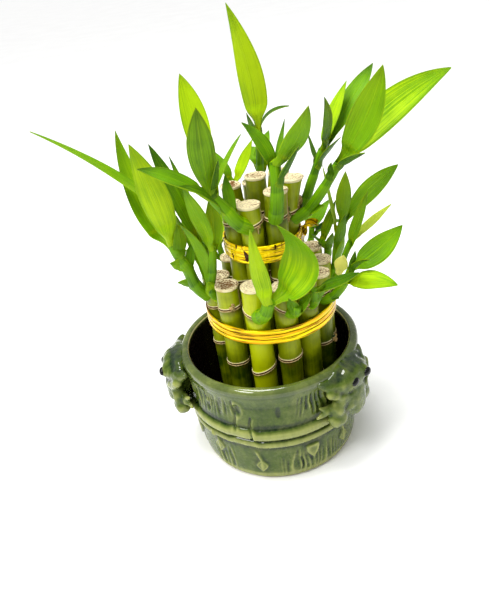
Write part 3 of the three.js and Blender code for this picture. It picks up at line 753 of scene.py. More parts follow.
def foil_material(look):
    """Gold foil, crinkled where it is creased, with painted reflections: long warm and dark runs,
    dark patches and pleats where it is creased, and painted shade in the grooves between its
    strands.
    """
    material, tree, skin, place = new_material("Gold Foil")
    creased = attribute(tree, "creased")
    ribbon = tree.nodes.new("ShaderNodeUVMap")
    ribbon.uv_map = "Ribbon"
    spot = add_node(tree, "ShaderNodeSeparateXYZ", {0: ribbon.outputs[0]})
    stretched = add_node(tree, "ShaderNodeCombineXYZ", {0: spot.outputs[1], 2: spot.outputs[0]})
    groove = attribute(tree, "groove")
    # painted reflections: long warm runs and long dark runs along the ribbon
    warm_reflections = place_group(tree, streaks_group(), stretched.outputs[0], Fineness=0.7,
                            Length=0.035, Contrast=0.14)
    dark_reflections = place_group(tree, streaks_group(), stretched.outputs[0], Fineness=1.3,
                            Length=0.05, Contrast=0.12)
    breaks = place_group(tree, streaks_group(), stretched.outputs[0], Fineness=0.25,
                         Length=0.09, Contrast=0.10)
    tall = add_node(tree, "ShaderNodeVectorMath", {0: place, 1: (1.0, 1.0, 0.45)},
                    operation="MULTIPLY")
    facets = add_node(tree, "ShaderNodeTexVoronoi",
                      {"Vector": tall.outputs[0], "Scale": 420.0, "Randomness": 1.0})
    # painted dark reflections in patches where the foil is creased
    patch = ramp(tree, add_node(tree, "ShaderNodeSeparateColor",
                                {0: facets.outputs["Color"]}).outputs[0], 0.88, 0.93)
    shown = spread(tree, creased, 0.8, 0.45)
    warm = mix(tree, times(tree, warm_reflections, shown), look.foil, look.warm)
    dark = times(tree, ramp(tree, dark_reflections, 0.72, 1.0), 0.8)
    # painted shade in the grooves between the strands, broken along the ribbon and fading where
    # the foil is creased
    groove_shade = plus(tree, 0.25, times(tree, breaks, 0.9))
    groove_shade = times(tree, groove, groove_shade, clamp=True)
    groove_shade = times(tree, groove_shade, ramp(tree, creased, 1.3, 0.0))
    # painted dark reflections along pleats where the foil is creased
    pleats = place_group(tree, streaks_group(), place, Fineness=300.0, Length=45.0, Contrast=0.12)
    pleats = times(tree, ramp(tree, pleats, 0.78, 1.0), 0.7)
    crinkle_dark_reflections = times(tree, larger(tree, patch, pleats), creased)
    darkest = larger(tree, larger(tree, dark, groove_shade), crinkle_dark_reflections)
    colour = mix(tree, darkest, warm, look.dark)
    tree.links.new(colour, skin.inputs["Base Color"])
    skin.inputs["Metallic"].default_value = 0.35
    skin.inputs["Roughness"].default_value = 0.22
    skin.inputs["Specular IOR Level"].default_value = 0.2
    ripple = add_node(tree, "ShaderNodeTexNoise", {"Vector": place, "Scale": 260.0, "Detail": 2.0})
    folds = times(tree, facets.outputs["Distance"], creased)
    bump(tree, skin, plus(tree, ripple.outputs["Fac"], folds), 0.5 * MM, 0.5)
    return material


# ---- pot -------------------------------------------------------------------------------------
UNDERSIDE = ((0, 0), (30, 0))           # radius, height
WALL = (                                # outside of the wall
    (43.0, 0), (43.9, 0.5), (44.6, 1.4), (45.3, 4), (45.9, 9), (46.6, 20),
    (47, HOOP_LOW - 2.8), (48.2, HOOP_LOW - 2.1), (48.9, HOOP_LOW - 0.6), (48.5, HOOP_LOW + 1.2),
    (47.2, HOOP_LOW + 2.3), (47.5, HOOP_LOW + 3.0), (49.1, HOOP_HIGH - 2.2),
    (49.8, HOOP_HIGH - 0.4), (49.7, HOOP_HIGH + 1.6), (48.8, HOOP_HIGH + 3.2),
    (47.6, HOOP_HIGH + 4.2), (47.5, 46), (47.8, 53), (48.6, 57), (49.4, 60), (49.8, 62),
    (49.5, 63.6), (48.8, 64.6),
)
LINING = (                              # over the rim and down the inside
    (47.8, 65.3), (46.7, POT_HEIGHT), (45.7, 65.3), (45.0, 64.5), (44.6, 63.4), (44.4, 61.5),
    (44, 50), (43.6, 36), (43.1, 22), (42.6, 12),
)
BED = ((41.8, 7.6), (40, POT_FLOOR), (24, POT_FLOOR), (0, POT_FLOOR))
WALL_STEP = 0.65                        # spacing of the wall's points, mm
LINING_STEP = 1.1
WALL_CALMING = 64                       # smoothing passes that the raised parts stand out from
WALL_RADIUS = 47.5                      # where the width of joints, knots and combing is measured
MOTIF_RADIUS = 46.5
COMBS = (                               # azimuths and heights between which the wall is combed
    (-166, -122, 42, 57), (-79, -54, 41, 57), (-143, -124, 2, 23), (-93, -48, 2, 21),
    (-30, -8, 43, 57), (6, 34, 2, 24), (20, 52, 42, 57), (88, 128, 43, 57), (72, 110, 2, 22),
    (146, 176, 41, 57), (150, 186, 2, 21),
)
COMB_PITCH = 2.9
PLANK_JOINTS = (                        # azimuth, low end, high end
    (-118.5, 37, 57), (-108.5, 31, 46), (-150, 40, 56), (-78, 2, 15), (-22, 38, 57),
    (8, 30, 50), (42, 36, 57), (104, 38, 57), (133, 28, 46), (160, 40, 57),
)
KNOTS = (                               # azimuth, height, half width, half height, ring
    (-116, 51, 2.0, 3.4, 0.4), (-90, 49, 1.6, 3.4, 0.05), (-139, 47, 1.4, 2.6, 0.3),
    (-5, 48, 1.8, 3.2, 0.4), (28, 47, 1.5, 2.6, 0.2), (118, 50, 1.8, 3.0, 0.4),
    (148, 46, 1.5, 2.8, 0.3),
)
MOTIFS = (                              # kind, azimuth, height
    ("shield", -70, 18.6), ("leaf", -105, 11.5), ("leaf", -43, 14.5), ("shield", -164, 17),
    ("leaf", -136, 19), ("leaf", -12, 12), ("shield", 22, 18), ("leaf", 58, 12),
    ("shield", 96, 18.5), ("leaf", 128, 11.5), ("shield", 158, 17),
)


def shield_relief(across, up):
    """A shield: round shoulders, pointed foot, sunk face. Height from 0 to 1."""
    half = 3.6 + 0.06 * up if up > 0 else 3.6 * max(0.0, 1 + up / 5.4) ** 0.7
    corner = 0.5 * smooth(2.2, 3.6, abs(across))
    inset = min(half - abs(across), 4.0 - corner - up)
    return smooth(-0.3, 0.5, inset) - 0.2 * smooth(1.0, 1.9, inset)


def leaf_relief(across, up):
    """A pointed leaf with a rib and a stalk that leans off upwards. Height from 0 to 1."""
    half = 3.4 * max(0.0, 1 - (abs(up) / 4.6) ** 1.35)
    inset = half - abs(across)
    blade = smooth(-0.3, 0.5, inset) * (0.75 + 0.25 * hump(across, 0, 0.5))
    blade -= 0.3 * hump(inset, 1.5, 0.5) * smooth(0, 0.8, inset)
    stalk = hump(across + 0.35 * (up - 4), 0, 0.75) * smooth(3.4, 4.2, up) * smooth(12, 9, up)
    return max(blade, 0.8 * stalk)


def along_wall(azimuth, spot, radius):
    """How far round the wall an azimuth lies from a spot, in mm at that radius."""
    return ((azimuth - spot + 180) % 360 - 180) * math.pi / 180 * radius


def wall_relief(azimuth, x, y, z, look):
    """Outward shift of a point of the wall's outside: combing, plank joints, knots, motifs."""
    arc = math.radians(azimuth) * WALL_RADIUS
    drift = noise.noise(Vector((arc / 7, z / 17, 5)))
    comb = math.cos(TAU * (arc / COMB_PITCH + 0.9 * drift))
    comb += 0.4 * noise.noise(Vector((arc / 1.6, z / 9, 8)))
    comb *= 0.8 + 0.7 * noise.noise(Vector((arc / 2.3, z / 6, 13)))
    lane = noise.noise(Vector((math.floor(arc / COMB_PITCH + 0.9 * drift) * 3.7, 0, 2)))
    reach = 0.045
    for start, end, low, high in COMBS:
        inside = smooth(start - 2, start + 3, azimuth) * smooth(end + 2, end - 3, azimuth)
        if inside > 0:
            if low > 30:
                inside *= smooth(low + 9 * lane, low + 5 + 9 * lane, z) * smooth(high + 2, high, z)
            else:
                inside *= smooth(high + 9 * lane, high - 6 + 9 * lane, z) * smooth(low - 1, low, z)
            reach = max(reach, inside * (0.75 + 0.6 * lane))
    motifs = []
    for kind, spot, height in MOTIFS:
        apart = along_wall(azimuth, spot, MOTIF_RADIUS)
        up = z - height
        if abs(apart) < 9 and abs(up) < 13:
            motifs.append((kind, apart, up))
            reach *= smooth(3.6, 6.0, math.hypot(apart, up))
    shift = look.comb_depth / MM * comb * reach * smooth(1, 3, z) * smooth(60, 55, z)
    shift += 0.30 * noise.noise(Vector((x / 17, y / 17, z / 15)))
    for joint, low, high in PLANK_JOINTS:
        apart = along_wall(azimuth, joint, WALL_RADIUS)
        if abs(apart) < 4:
            apart += 0.5 * math.sin(z * 0.5)
            reach = smooth(low - 1.5, low + 1, z) * smooth(high + 1.5, high - 1, z)
            shift += reach * (-0.95 * hump(apart, 0, 0.55) + 0.35 * hump(apart, 1.5, 0.8))
    for spot, height, wide, tall, ring in KNOTS:
        apart = along_wall(azimuth, spot, WALL_RADIUS)
        if abs(apart) < 8:
            away = math.hypot(apart / wide, (z - height) / tall)
            shift += -0.8 * math.exp(-away ** 2) + ring * math.exp(-((away - 1.5) / 0.45) ** 2)
    for kind, apart, up in motifs:
        shape = shield_relief if kind == "shield" else leaf_relief
        shift += look.motif_height / MM * shape(apart, up)
    return shift


def spaced(profile, step):
    """A profile with points added so that none lie further apart than the step."""
    rows = [profile[0]]
    for a, b in zip(profile, profile[1:]):
        count = max(1, round(math.dist(a, b) / step))
        rows += [tuple(p + (q - p) * i / count for p, q in zip(a, b))
                 for i in range(1, count + 1)]
    return rows


def build_wall(look):
    profile = []
    for points, outer in ((UNDERSIDE, 0), (spaced(WALL, WALL_STEP), 1),
                          (spaced(LINING, LINING_STEP), 0), (BED, 0)):
        profile += [(r, z, 0, outer) for r, z in points]
    bm = spun(profile, look.turns, ("inside", "outer", "rim", "lip"))
    layer = bm.verts.layers.float
    inside, outer, rim, lip = (layer[key] for key in ("inside", "outer", "rim", "lip"))
    for vert in bm.verts:
        x, y, z = vert.co
        r = math.hypot(x, y)
        if vert[outer] > 0.5 and r > 1:
            azimuth = math.degrees(math.atan2(y, x))
            shift = wall_relief(azimuth, x, y, z, look)
            if z < 1.2:
                shift = min(shift, 0)
            wave = 0.7 * noise.noise(Vector((x / 20, y / 20, 9)))
            wave += 0.8 * smooth(-104, -109, azimuth) * smooth(-125, -120, azimuth)
            wave *= smooth(22, 27, z) * smooth(44, 39, z)
            vert.co = ((r + shift) * x / r, (r + shift) * y / r, z + wave)
        vert[rim] = smooth(58.5, 62, z) if r > 44 else 0.0
        vert[lip] = hump(z, 64.3, 0.55) if r < 45.6 else 0.0
        # inside: 1 over the lining below the mouth and over the bed, where the glaze paints the
        # pot's inside nearly black as shade
        vert[inside] = (1 - vert[outer]) * smooth(64.4, 62.8, z) if r > 1 and z > 1 else 0.0
        if r < 41 and z > 2:
            vert[inside] = 1.0
    bmesh.ops.recalc_face_normals(bm, faces=bm.faces)
    mark_raised(bm, WALL_CALMING)
    return bm


FROG_VOXEL = 0.55
FROG_ROUNDING = 9                       # smoothing passes that round a melted frog
FROG_CALMING = 36                       # smoothing passes that its raised parts stand out from
FROG_EYES = ((56.2, -3.8, 57.4), (57.2, 6.4, 57.4))    # the head is turned a little
FROG_REACH = {184: 2.6}                 # how much further out than the others a frog sits


def frog_shape(bm):
    """The body of one frog at angle 0: x is out from the pot's axis, y along the rim."""
    ball(bm, (51.2, 0, 46), (7.8, 11.0, 13.0))
    ball(bm, (53.6, 1, 41), (5.2, 8.0, 9.0))
    ball(bm, (50.6, 0, 56.6), (8.0, 14.0, 8.0))
    ball(bm, (47.8, 0, 60.8), (4.6, 15.5, 4.8))
    ball(bm, (53.6, 1.4, 56.6), (5.0, 9.6, 6.2))
    for x, y, z in FROG_EYES:
        ball(bm, (x - 1.7, y, z - 0.2), (3.6, 4.0, 3.9))
    limb(bm, ((50.6, -16, 55), (52.6, -12, 51.4), (55.0, -6.5, 49.4), (56.4, 1, 48.2),
              (55.8, 7, 49), (53.0, 13, 51.4), (50.6, 16.5, 55)),
         (2.8, 2.5, 2.3, 2.3, 2.3, 2.5, 2.8))
    for hand in (-1, 1):
        limb(bm, ((49.8, 11.4 * hand, 57.2), (47.5, 15.8 * hand, 59.4), (45.6, 18.6 * hand, 61)),
             (4.6, 3.0, 1.9))
        limb(bm, ((52.4, 9 * hand, 50), (51.4, 12.6 * hand, 44), (50.4, 12 * hand, 38)),
             (3.6, 3.8, 4.6))
        ball(bm, (50.6, 11.4 * hand, 37.2), (5.0, 7.0, 5.6))
        ball(bm, (48.0, 15.6 * hand, 43.2), (2.3, 3.8, 2.8))
        limb(bm, ((47.6, 16.4 * hand, 44), (45.8, 20.0 * hand, 46.6)), (1.9, 1.1))
        limb(bm, ((47.4, 17.0 * hand, 42.4), (44.8, 21.6 * hand, 41)), (1.9, 1.1))


def melted_frog():
    """One frog's balls and limbs, melted together by a voxel remesh."""
    rough = bmesh.new()
    frog_shape(rough)
    mesh = bpy.data.meshes.new("frog_rough")
    rough.to_mesh(mesh)
    rough.free()
    lump = bpy.data.objects.new("frog_rough", mesh)
    bpy.context.scene.collection.objects.link(lump)
    melt = lump.modifiers.new("Melt", "REMESH")
    melt.mode = "VOXEL"
    melt.voxel_size = FROG_VOXEL
    melted = bpy.data.meshes.new_from_object(
        lump.evaluated_get(bpy.context.evaluated_depsgraph_get()))
    bpy.data.objects.remove(lump)
    bpy.data.meshes.remove(mesh)
    return melted


def turn_to_place(bm, angle):
    bmesh.ops.rotate(bm, cent=(0, 0, 0), matrix=Matrix.Rotation(math.radians(angle), 3, "Z"),
                     verts=bm.verts)


def build_frog(melted, angle):
    """A melted frog, smoothed, made a little uneven and turned to its place on the rim."""
    bm = bmesh.new()
    bm.from_mesh(melted)
    smooth_shape(bm, FROG_ROUNDING)
    reach = FROG_REACH.get(angle, 0)
    for vert in bm.verts:
        vert.co += vert.normal * 0.4 * noise.noise(vert.co / 3.2 + Vector((angle, 0, 0)))
        vert.co.x += reach
    rim = bm.verts.layers.float.new("rim")
    for vert in bm.verts:
        x, _, z = vert.co
        vert[rim] = smooth(58, 62, z) * smooth(58, 54, x)
    turn_to_place(bm, angle)
    mark_raised(bm, FROG_CALMING)
    return bm


def build_eyes(angle):
    bm = bmesh.new()
    for x, y, z in FROG_EYES:
        ball(bm, (x + FROG_REACH.get(angle, 0) + 1.1, y, z), (1.8, 2.9, 2.3), segments=24)
    turn_to_place(bm, angle)
    return bm


class BAMBOO_OT_pot(bpy.types.Operator):
    """Build the glazed pot, its combed wall and its frogs"""
    bl_idname = "bamboo.pot"
    bl_label = "Pot"

    def execute(self, context):
        look = context.scene.bamboo_pot
        glaze = glaze_material(look)
        black = eye_material()
        add_piece("pot_wall", build_wall(look), [glaze], ["pot"])
        melted = melted_frog()
        for i, angle in enumerate(FROG_ANGLES, 1):
            add_piece(f"pot_frog_{i}", build_frog(melted, angle), [glaze], ["pot"])
            add_piece(f"pot_frog_{i}_eyes", build_eyes(angle), [black], ["pot"])
        bpy.data.meshes.remove(melted)
        return {"FINISHED"}


# ---- canes -----------------------------------------------------------------------------------
CANE_TURNS = 24
HUSK_FLAKES = 6
CANE_LAYERS = ("scar", "halo", "cut", "dry", "radial")


def cane_profile(r, top, rings, swell):
    """(radius, height, scar, halo, cut, dry, radial) from the foot to the middle of the top."""
    foot = POT_FLOOR + 0.3
    heights = {foot + 0.6, top - 2.2, top - 1.6}
    z = foot + 3.0
    while z < top - 3:
        heights.add(z)
        z += 2.5
    for ring, _, _ in rings:
        heights |= {ring + step for step in (-3.2, -2.4, -1.8, -1.35, -1.0, -0.75, -0.5, -0.25,
                                             0, 0.25, 0.5, 0.75, 1.0, 1.35, 2.0)}
    rows = [(0, foot, 0, 0, 0, 0, 0), (r * 0.6, foot, 0, 0, 0, 0, 0),
            (r - 0.5, foot, 0, 0, 0, 0, 0)]
    for z in sorted(heights):
        lines = sum(hump(z, ring + 0.7, 0.3) + hump(z, ring - 0.7, 0.3) for ring, _, _ in rings)
        scar = sum(hump(z, ring, 0.55) for ring, _, _ in rings)
        # halo: the band just under each ring, darkened in the material as painted shade and
        # blotched with brown stains
        halo = min(1.0, sum(hump(z, ring - 1.6, 2.0) for ring, _, _ in rings))
        waist = min(abs(z - ring) for ring, _, _ in rings)
        radius = r - 0.18 * smooth(2, 12, waist) + swell * (lines + 0.3 * scar)
        rows.append((radius, z, min(1.0, scar), halo, 0, min(1.0, lines), 0))
    rows += [(r + 0.12, top - 1.1, 0, 0, 0, 0.7, 1), (r + 0.22, top - 0.5, 0, 0, 0, 1, 1),
             (r + 0.05, top - 0.05, 0, 0, 0.3, 1, 1), (r - 0.35, top + 0.05, 0, 0, 1, 0.5, 1)]
    rows += [(r * s, top - drop, 0, 0, 1, 0, s) for s, drop in
             ((0.84, 0.1), (0.7, 0.3), (0.55, 0.35), (0.4, 0.45), (0.25, 0.6), (0.1, 0.6))]
    rows.append((0, top - 0.6, 0, 0, 1, 0, 0))
    return rows


def cane_axis(tier, angle, thick, lean, z):
    """Where the middle of a cane is at a height."""
    x, y = tier["middle"]
    if angle is None:
        return Vector((x, y, 0))
    rise = max(0.0, z - tier["flare"]) / FLARE_SPAN
    reach = tier["outside"] - thick / 2 + lean * rise ** 2
    return Vector((x + reach * math.cos(math.radians(angle)),
                   y + reach * math.sin(math.radians(angle)), 0))


def add_husk(bm, place, size, turn, tone, draw):
    """A tuft of dry flakes on a node ring."""
    layer = bm.verts.layers.float
    for _ in range(HUSK_FLAKES):
        tip = place + Vector([draw.uniform(-1, 1) * part for part in size]) * 0.7
        flake = [part * draw.uniform(0.5, 0.85) for part in size]
        for vert in ball(bm, tip, flake, turn + draw.uniform(-0.7, 0.7), 10):
            for key, value in (("dry", 1.0), ("radial", 0.5), ("halo", 1.0), ("tone", tone),
                               ("pith", 1.0)):
                vert[layer[key]] = value
            vert.co += Vector((0.3, 0.3, 0.4)) * noise.noise(vert.co / 0.7)


def build_cane(tier_name, number, look):
    tier = TIERS[tier_name]
    angle, thick, top, rings, lean, tone, pith = CANES[tier_name][number - 1]
    bm = spun(cane_profile(thick / 2, top, rings, look.swell / MM), CANE_TURNS, CANE_LAYERS)
    layer = bm.verts.layers.float
    tone_layer, pith_layer = layer.new("tone"), layer.new("pith")
    scar, dry = layer["scar"], layer["dry"]
    offset = Vector((number * 7.3, 3.1 if tier_name == "low" else 8.7, 0))
    for vert in bm.verts:
        x, y, z = vert.co
        turn = math.atan2(y, x)
        rough = noise.noise(Vector((x, y, z / 9)) / 3 + offset)
        frayed = noise.noise(Vector((x / 1.1, y / 1.1, z / 2)) + offset)
        swell = 0.10 * rough + 0.22 * frayed * vert[scar] + 0.16 * frayed * vert[dry]
        r = math.hypot(x, y)
        if r > 1e-6:
            vert.co.x += swell * x / r
            vert.co.y += swell * y / r
        for ring, slant, direction in rings:
            share = math.exp(-((z - ring) / 4.5) ** 2)
            vert.co.z += share * slant * math.cos(turn - math.radians(direction))
            vert.co.z += share * 0.25 * frayed
        if z > top - 3:
            vert.co.z += 0.22 * rough * smooth(top - 3, top, z)
        vert[tone_layer] = tone
        vert[pith_layer] = pith
        vert.co += cane_axis(tier, angle, thick, lean, z)
    for home, which, around, height, size in CANE_BUDS:
        if (home, which) != (tier_name, number):
            continue
        turn = math.radians(around)
        out = Vector((math.cos(turn), math.sin(turn), 0)) * (thick / 2)
        place = cane_axis(tier, angle, thick, lean, height) + out + Vector((0, 0, height))
        add_husk(bm, place, size, turn, tone, random.Random(number * 10 + len(tier_name)))
    return bm


class BAMBOO_OT_canes(bpy.types.Operator):
    """Build the cut canes of both tiers, with their rings and dry tops"""
    bl_idname = "bamboo.canes"
    bl_label = "Canes"

    def execute(self, context):
        look = context.scene.bamboo_canes
        skin = cane_material(look)
        for tier_name, canes in CANES.items():
            for number in range(1, len(canes) + 1):
                node = f"cane_{tier_name}_{number:02d}"
                add_piece(f"skin_of_{node}", build_cane(tier_name, number, look), [skin],
                          [node], sharp=50)
        return {"FINISHED"}


# ---- shoots ----------------------------------------------------------------------------------
STEM_TURNS = 14
STEM_STEPS = 40
LEAF_LANES = 10                         # faces across a blade
LEAF_STEP = 1.6                         # length of a blade's faces, mm
STEM_HINT = Vector((0.3, 1, 0.1))


def set_layers(bm):
    return {key: bm.verts.layers.float.new(key) for key in ("tone", "seed", "dry")}


def add_stem(bm, layers, spots, route, thick, tone):
    """A tapering stem in overlapping sheaths, bent from a straight spun one."""
    rows = [(0, -0.01)]
    for i in range(STEM_STEPS + 1):
        t = i / STEM_STEPS
        sheath = (t * 3 + 0.15) % 1
        step = 0.94 + 0.08 * sheath - 0.06 * smooth(0.9, 1.0, sheath)
        rows.append((thick / 2 * step * (1 - 0.35 * t), t))
    rows.append((0, 1.02))
    straight = spun(rows, STEM_TURNS)
    made = bpy.data.meshes.new("stem_rough")
    straight.to_mesh(made)
    straight.free()
    before = set(bm.verts)
    bm.from_mesh(made)
    bpy.data.meshes.remove(made)
    for vert in bm.verts:
        if vert in before:
            continue
        x, y, t = vert.co
        t = min(1.0, max(0.0, t))
        along = route.heading(t)
        side = STEM_HINT.cross(along).normalized()
        other = along.cross(side)
        slant = 0.35 * x / max(thick, 1)
        spot = min(1.0, max(0.0, t + 0.1 * slant))
        vert.co = route.point(spot) + side * x + other * y
        sheath = (t * 3 + 0.15 + 0.1 * slant) % 1
        vert[layers["tone"]] = tone + 0.3 * sheath + 0.2 * smooth(0.3, 0.0, t)
        vert[layers["seed"]] = 0.3
        vert[spots] = Vector((math.atan2(y, x) / TAU + 0.5, 0.2 + 0.4 * t, 0))


def add_leaf(bm, layers, spots, route, thick, leaf, seed, thickness):
    """A blade from a grid: its foot clasps the stem, then it opens, widens and runs to a tip."""
    place, x, y, z, width, peak, arch, sweep, roll, tone = leaf
    base = route.point(place)
    span = Vector((x, y, z)) - base
    length = span.length
    ahead = span.normalized()
    level = UP.cross(ahead).normalized()
    rise = ahead.cross(level)
    side = Matrix.Rotation(math.radians(roll), 3, ahead) @ level
    wrap = thick / 2 * (1 - 0.35 * place) + 0.25
    skew = math.log(0.5) / math.log(peak)

    def centre(t):
        bow = 4 * t * (1 - t) * length
        return base + span * t + rise * arch * bow + level * sweep * bow

    made = bmesh.ops.create_grid(bm, x_segments=LEAF_LANES,
                                 y_segments=max(14, round(length / LEAF_STEP)), size=1)["verts"]
    for vert in made:
        u, t = vert.co.x, (vert.co.y + 1) / 2
        vert[spots] = Vector((0.5 + u / 2, t, 0))
        along = (centre(t + 0.01) - centre(t - 0.01)).normalized()
        across = (side - along * side.dot(along)).normalized()
        face = along.cross(across)
        blade = max(0.0, math.sin(math.pi * t ** skew)) ** 0.85
        half = width / 2 * max(blade, LEAF_NECK * (1 - t))
        clasp = smooth(0.22, 0.03, t) if length > 14 else smooth(0.3, 0.05, t)
        half = half * (1 - clasp) + wrap * 1.25 * clasp
        half = max(half, 0.12)
        curl = 0.34 + 1.15 * clasp
        radius = half / curl
        lift = radius * (math.cos(curl) * (1 - clasp) - math.cos(u * curl))
        wave = 0.05 * half * u * u * math.sin(t * 9 + seed * 5 + u * 1.4)
        wave *= smooth(0.2, 0.5, t)
        vert.co = centre(t) + across * radius * math.sin(u * curl) + face * (lift + wave)
        vert[layers["tone"]] = min(1.0, tone)
        vert[layers["seed"]] = seed
        vert[layers["dry"]] = max(0.0, tone - 1)
    faces = list({face for vert in made for face in vert.link_faces})
    bmesh.ops.solidify(bm, geom=faces, thickness=thickness)


def build_shoot(name, look):
    thick, stem, leaves = SHOOTS[name]
    route = Route(stem)
    bm = bmesh.new()
    layers = set_layers(bm)
    spots = bm.verts.layers.float_vector.new("spot")
    draw = random.Random(name)
    add_stem(bm, layers, spots, route, thick, 0.22)
    for leaf in leaves:
        add_leaf(bm, layers, spots, route, thick, leaf, draw.random(), look.thickness / MM)
    uv = bm.loops.layers.uv.new("Blade")
    for face in bm.faces:
        for loop in face.loops:
            loop[uv].uv = loop.vert[spots].xy
    bm.verts.layers.float_vector.remove(spots)
    return bm


class BAMBOO_OT_shoots(bpy.types.Operator):
    """Build the leafy shoots that grow from the canes' rings"""
    bl_idname = "bamboo.shoots"
    bl_label = "Shoots"

    def execute(self, context):
        look = context.scene.bamboo_leaves
        leaf = leaf_material(look)
        for name in SHOOTS:
            add_piece(f"foliage_{name}", build_shoot(name, look), [leaf], [f"shoot_{name}"],
                      sharp=70)
        return {"FINISHED"}


# ---- ties ------------------------------------------------------------------------------------
TIE_TURNS = 160
RIBBON_RADIUS = 35                      # turns an angle round a tie into mm of foil


def build_band(tier_name, z, width, strands, creased):
    """Flat foil strands side by side, wound round a tier."""
    tier = TIERS[tier_name]
    inside = tier["outside"] + TIE_GAP
    step = width / strands
    profile = [(inside, z - width / 2, 1)]
    for i in range(strands):
        low = z - width / 2 + i * step
        # groove marks each strand's edges, where the foil material paints shade between the
        # strands
        for share, swell, groove in (
                (0.02, 0.55, 1), (0.05, 0.75, 0.6), (0.1, 0.9, 0), (0.3, 0.98, 0), (0.5, 1.0, 0),
                (0.7, 0.98, 0), (0.9, 0.9, 0), (0.95, 0.75, 0.6), (0.98, 0.55, 1)):
            profile.append((inside + FOIL * swell, low + share * step, groove))
    profile += [(inside, z + width / 2, 1), (inside, z - width / 2, 1)]
    bm = spun(profile, TIE_TURNS, ("groove",))
    crease = bm.verts.layers.float.new("creased")
    for vert in bm.verts:
        x, y, height = vert.co
        r = math.hypot(x, y)
        dent = noise.noise(Vector((x / 8, y / 8, height / 4)))
        fold = noise.noise(Vector((x / 1.3, y / 1.3, height / 6)))
        push = (0.12 * dent + 0.34 * fold * creased) if r > inside + 0.1 else 0
        vert.co.x += push * x / r
        vert.co.y += push * y / r
        vert.co.z += 0.35 * noise.noise(Vector((x / 16, y / 16, height / 3)))
        vert[crease] = creased
    bmesh.ops.translate(bm, vec=(*tier["middle"], 0), verts=bm.verts)
    return bm


def add_twist(bm):
    """The two ends of the upper tie, twisted together: two flat strips laid along one
    route, pinched where they are twisted and spread at their tips."""
    crease = bm.verts.layers.float["creased"]
    route = Route(TWIST_ROUTE)
    steps, lanes = 26, 9
    for ply in (-1, 1):
        made = bmesh.ops.create_grid(bm, x_segments=lanes, y_segments=steps, size=1)["verts"]
        for vert in made:
            u, t = vert.co.x, (vert.co.y + 1) / 2
            along = route.heading(t)
            turn = math.pi * 0.9 * t + ply * 0.22
            level = Matrix.Rotation(turn, 3, along) @ UP.cross(along).normalized()
            flat = along.cross(level)
            half = 0.9 + 4.1 * (abs(t - 0.45) / 0.55) ** 1.3
            fold = 0.45 * math.sin(u * 7 + ply + t * 4) * (0.4 + half / 5)
            vert.co = route.point(t) + level * u * half + flat * (fold + ply * 0.35)
            vert[crease] = 0.8
        faces = list({face for vert in made for face in vert.link_faces})
        bmesh.ops.solidify(bm, geom=faces, thickness=0.25)


def add_ribbon_map(bm, middle):
    """UV in millimetres: along the ribbon, and across it."""
    uv = bm.loops.layers.uv.new("Ribbon")
    for face in bm.faces:
        turns = [math.atan2(l.vert.co.y - middle[1], l.vert.co.x - middle[0])
                 for l in face.loops]
        wraps = max(turns) - min(turns) > math.pi
        for loop, turn in zip(face.loops, turns):
            if wraps and turn < 0:
                turn += TAU
            loop[uv].uv = (turn * RIBBON_RADIUS, loop.vert.co.z)


class BAMBOO_OT_ties(bpy.types.Operator):
    """Build the two gold foil ties"""
    bl_idname = "bamboo.ties"
    bl_label = "Ties"

    def execute(self, context):
        look = context.scene.bamboo_ties
        foil = foil_material(look)
        lower = build_band("low", TIE_LOW_Z, TIE_LOW_WIDTH, look.strands, 0.0)
        add_ribbon_map(lower, TIERS["low"]["middle"])
        add_piece("foil_of_tie_lower", lower, [foil], ["tie_lower"], sharp=60)
        upper = build_band("top", TIE_TOP_Z, TIE_TOP_WIDTH, look.strands, 1.0)
        add_twist(upper)
        add_ribbon_map(upper, TIERS["top"]["middle"])
        add_piece("foil_of_tie_upper", upper, [foil], ["tie_upper"], sharp=60)
        return {"FINISHED"}


# ---- stage -----------------------------------------------------------------------------------
CAMERA_PLACE = (0, -0.27744, 0.25535)
CAMERA_AHEAD = (-0.028686, 0.861326, -0.507241)
CAMERA_ROLL = -8.597                   # degrees, about the way it looks
CAMERA_LENS = 36.49                    # for a 36 mm wide sensor
FLOOR_REACH = 14


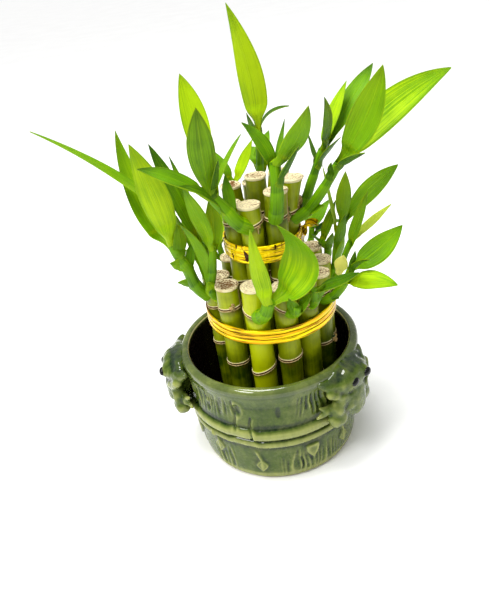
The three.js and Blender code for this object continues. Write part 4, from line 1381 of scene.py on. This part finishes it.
class BAMBOO_OT_stage(bpy.types.Operator):
    """Build the pale floor, the soft light and the camera"""
    bl_idname = "bamboo.stage"
    bl_label = "Stage"

    def execute(self, context):
        look = context.scene.bamboo_stage
        scene = context.scene
        bm = bmesh.new()
        bmesh.ops.create_grid(bm, x_segments=2, y_segments=2, size=FLOOR_REACH)
        mesh = bpy.data.meshes.new("floor")
        bm.to_mesh(mesh)
        bm.free()
        floor = bpy.data.objects.new("floor", mesh)
        scene.collection.objects.link(floor)
        material, tree, skin, place = new_material("Pale Floor")
        clouds = place_group(tree, mottle_group(), place, Scale=9.0, Low=0.3, High=0.7)
        shade = [part * 0.97 for part in look.floor]
        tree.links.new(mix(tree, clouds, look.floor, shade), skin.inputs["Base Color"])
        skin.inputs["Roughness"].default_value = 0.6
        mesh.materials.append(material)

        world = bpy.data.worlds.new("Even Room Light")
        world.use_nodes = True
        back = world.node_tree.nodes["Background"]
        back.inputs["Color"].default_value = (1, 1, 1, 1)
        back.inputs["Strength"].default_value = look.sky
        scene.world = world
        for name, place, aim, size, power in (
            ("soft_box_top", (-0.12, 0.02, 0.95), (0, 0, 0.08), 0.42, look.key),
            ("soft_box_left", (-0.5, -0.5, 0.85), (0, 0, 0.1), 0.3, look.key * 0.55),
        ):
            light = bpy.data.lights.new(name, "AREA")
            light.shape = "DISK"
            light.size = size
            light.energy = power
            lamp = bpy.data.objects.new(name, light)
            lamp.location = place
            lamp.rotation_euler = (Vector(aim) - Vector(place)).to_track_quat(
                "-Z", "Y").to_euler()
            scene.collection.objects.link(lamp)

        sun = bpy.data.lights.new("daylight", "SUN")
        sun.energy = look.daylight
        sun.angle = math.radians(55)
        lamp = bpy.data.objects.new("daylight", sun)
        lamp.rotation_euler = (math.radians(12), math.radians(-16), 0)
        lamp.visible_glossy = False
        scene.collection.objects.link(lamp)

        lens = bpy.data.cameras.new("camera")
        lens.lens = CAMERA_LENS
        lens.sensor_width = 36
        lens.clip_start = 0.01
        camera = bpy.data.objects.new("camera", lens)
        ahead = Vector(CAMERA_AHEAD).normalized()
        turn = Matrix.Rotation(math.radians(-CAMERA_ROLL), 3, ahead)
        camera.matrix_world = (Matrix.Translation(CAMERA_PLACE)
                               @ (turn @ ahead.to_track_quat("-Z", "Y").to_matrix()).to_4x4())
        scene.collection.objects.link(camera)
        scene.camera = camera
        scene.view_settings.view_transform = "Standard"
        return {"FINISHED"}


class BAMBOO_PT_panel(bpy.types.Panel):
    """Sizes, colours and builders of the lucky bamboo"""
    bl_idname = "BAMBOO_PT_panel"
    bl_label = "Lucky Bamboo"
    bl_space_type = "VIEW_3D"
    bl_region_type = "UI"
    bl_category = "Lucky Bamboo"

    def draw(self, context):
        for key, operator in zip(SETTINGS, OPERATORS):
            box = self.layout.box()
            box.operator(operator.bl_idname)
            group = getattr(context.scene, key)
            for field in SETTINGS[key].__annotations__:
                box.prop(group, field)


OPERATORS = (BAMBOO_OT_pot, BAMBOO_OT_canes, BAMBOO_OT_shoots, BAMBOO_OT_ties, BAMBOO_OT_stage)


def register():
    for cls in (*SETTINGS.values(), *OPERATORS, BAMBOO_PT_panel):
        bpy.utils.register_class(cls)
    for key, cls in SETTINGS.items():
        setattr(bpy.types.Scene, key, bpy.props.PointerProperty(type=cls))


def unregister():
    for key in SETTINGS:
        delattr(bpy.types.Scene, key)
    for cls in reversed((*SETTINGS.values(), *OPERATORS, BAMBOO_PT_panel)):
        bpy.utils.unregister_class(cls)


def main():
    register()
    bpy.ops.bamboo.stage()
    bpy.ops.bamboo.pot()
    bpy.ops.bamboo.canes()
    bpy.ops.bamboo.shoots()
    bpy.ops.bamboo.ties()


if __name__ == "__main__":
    main()
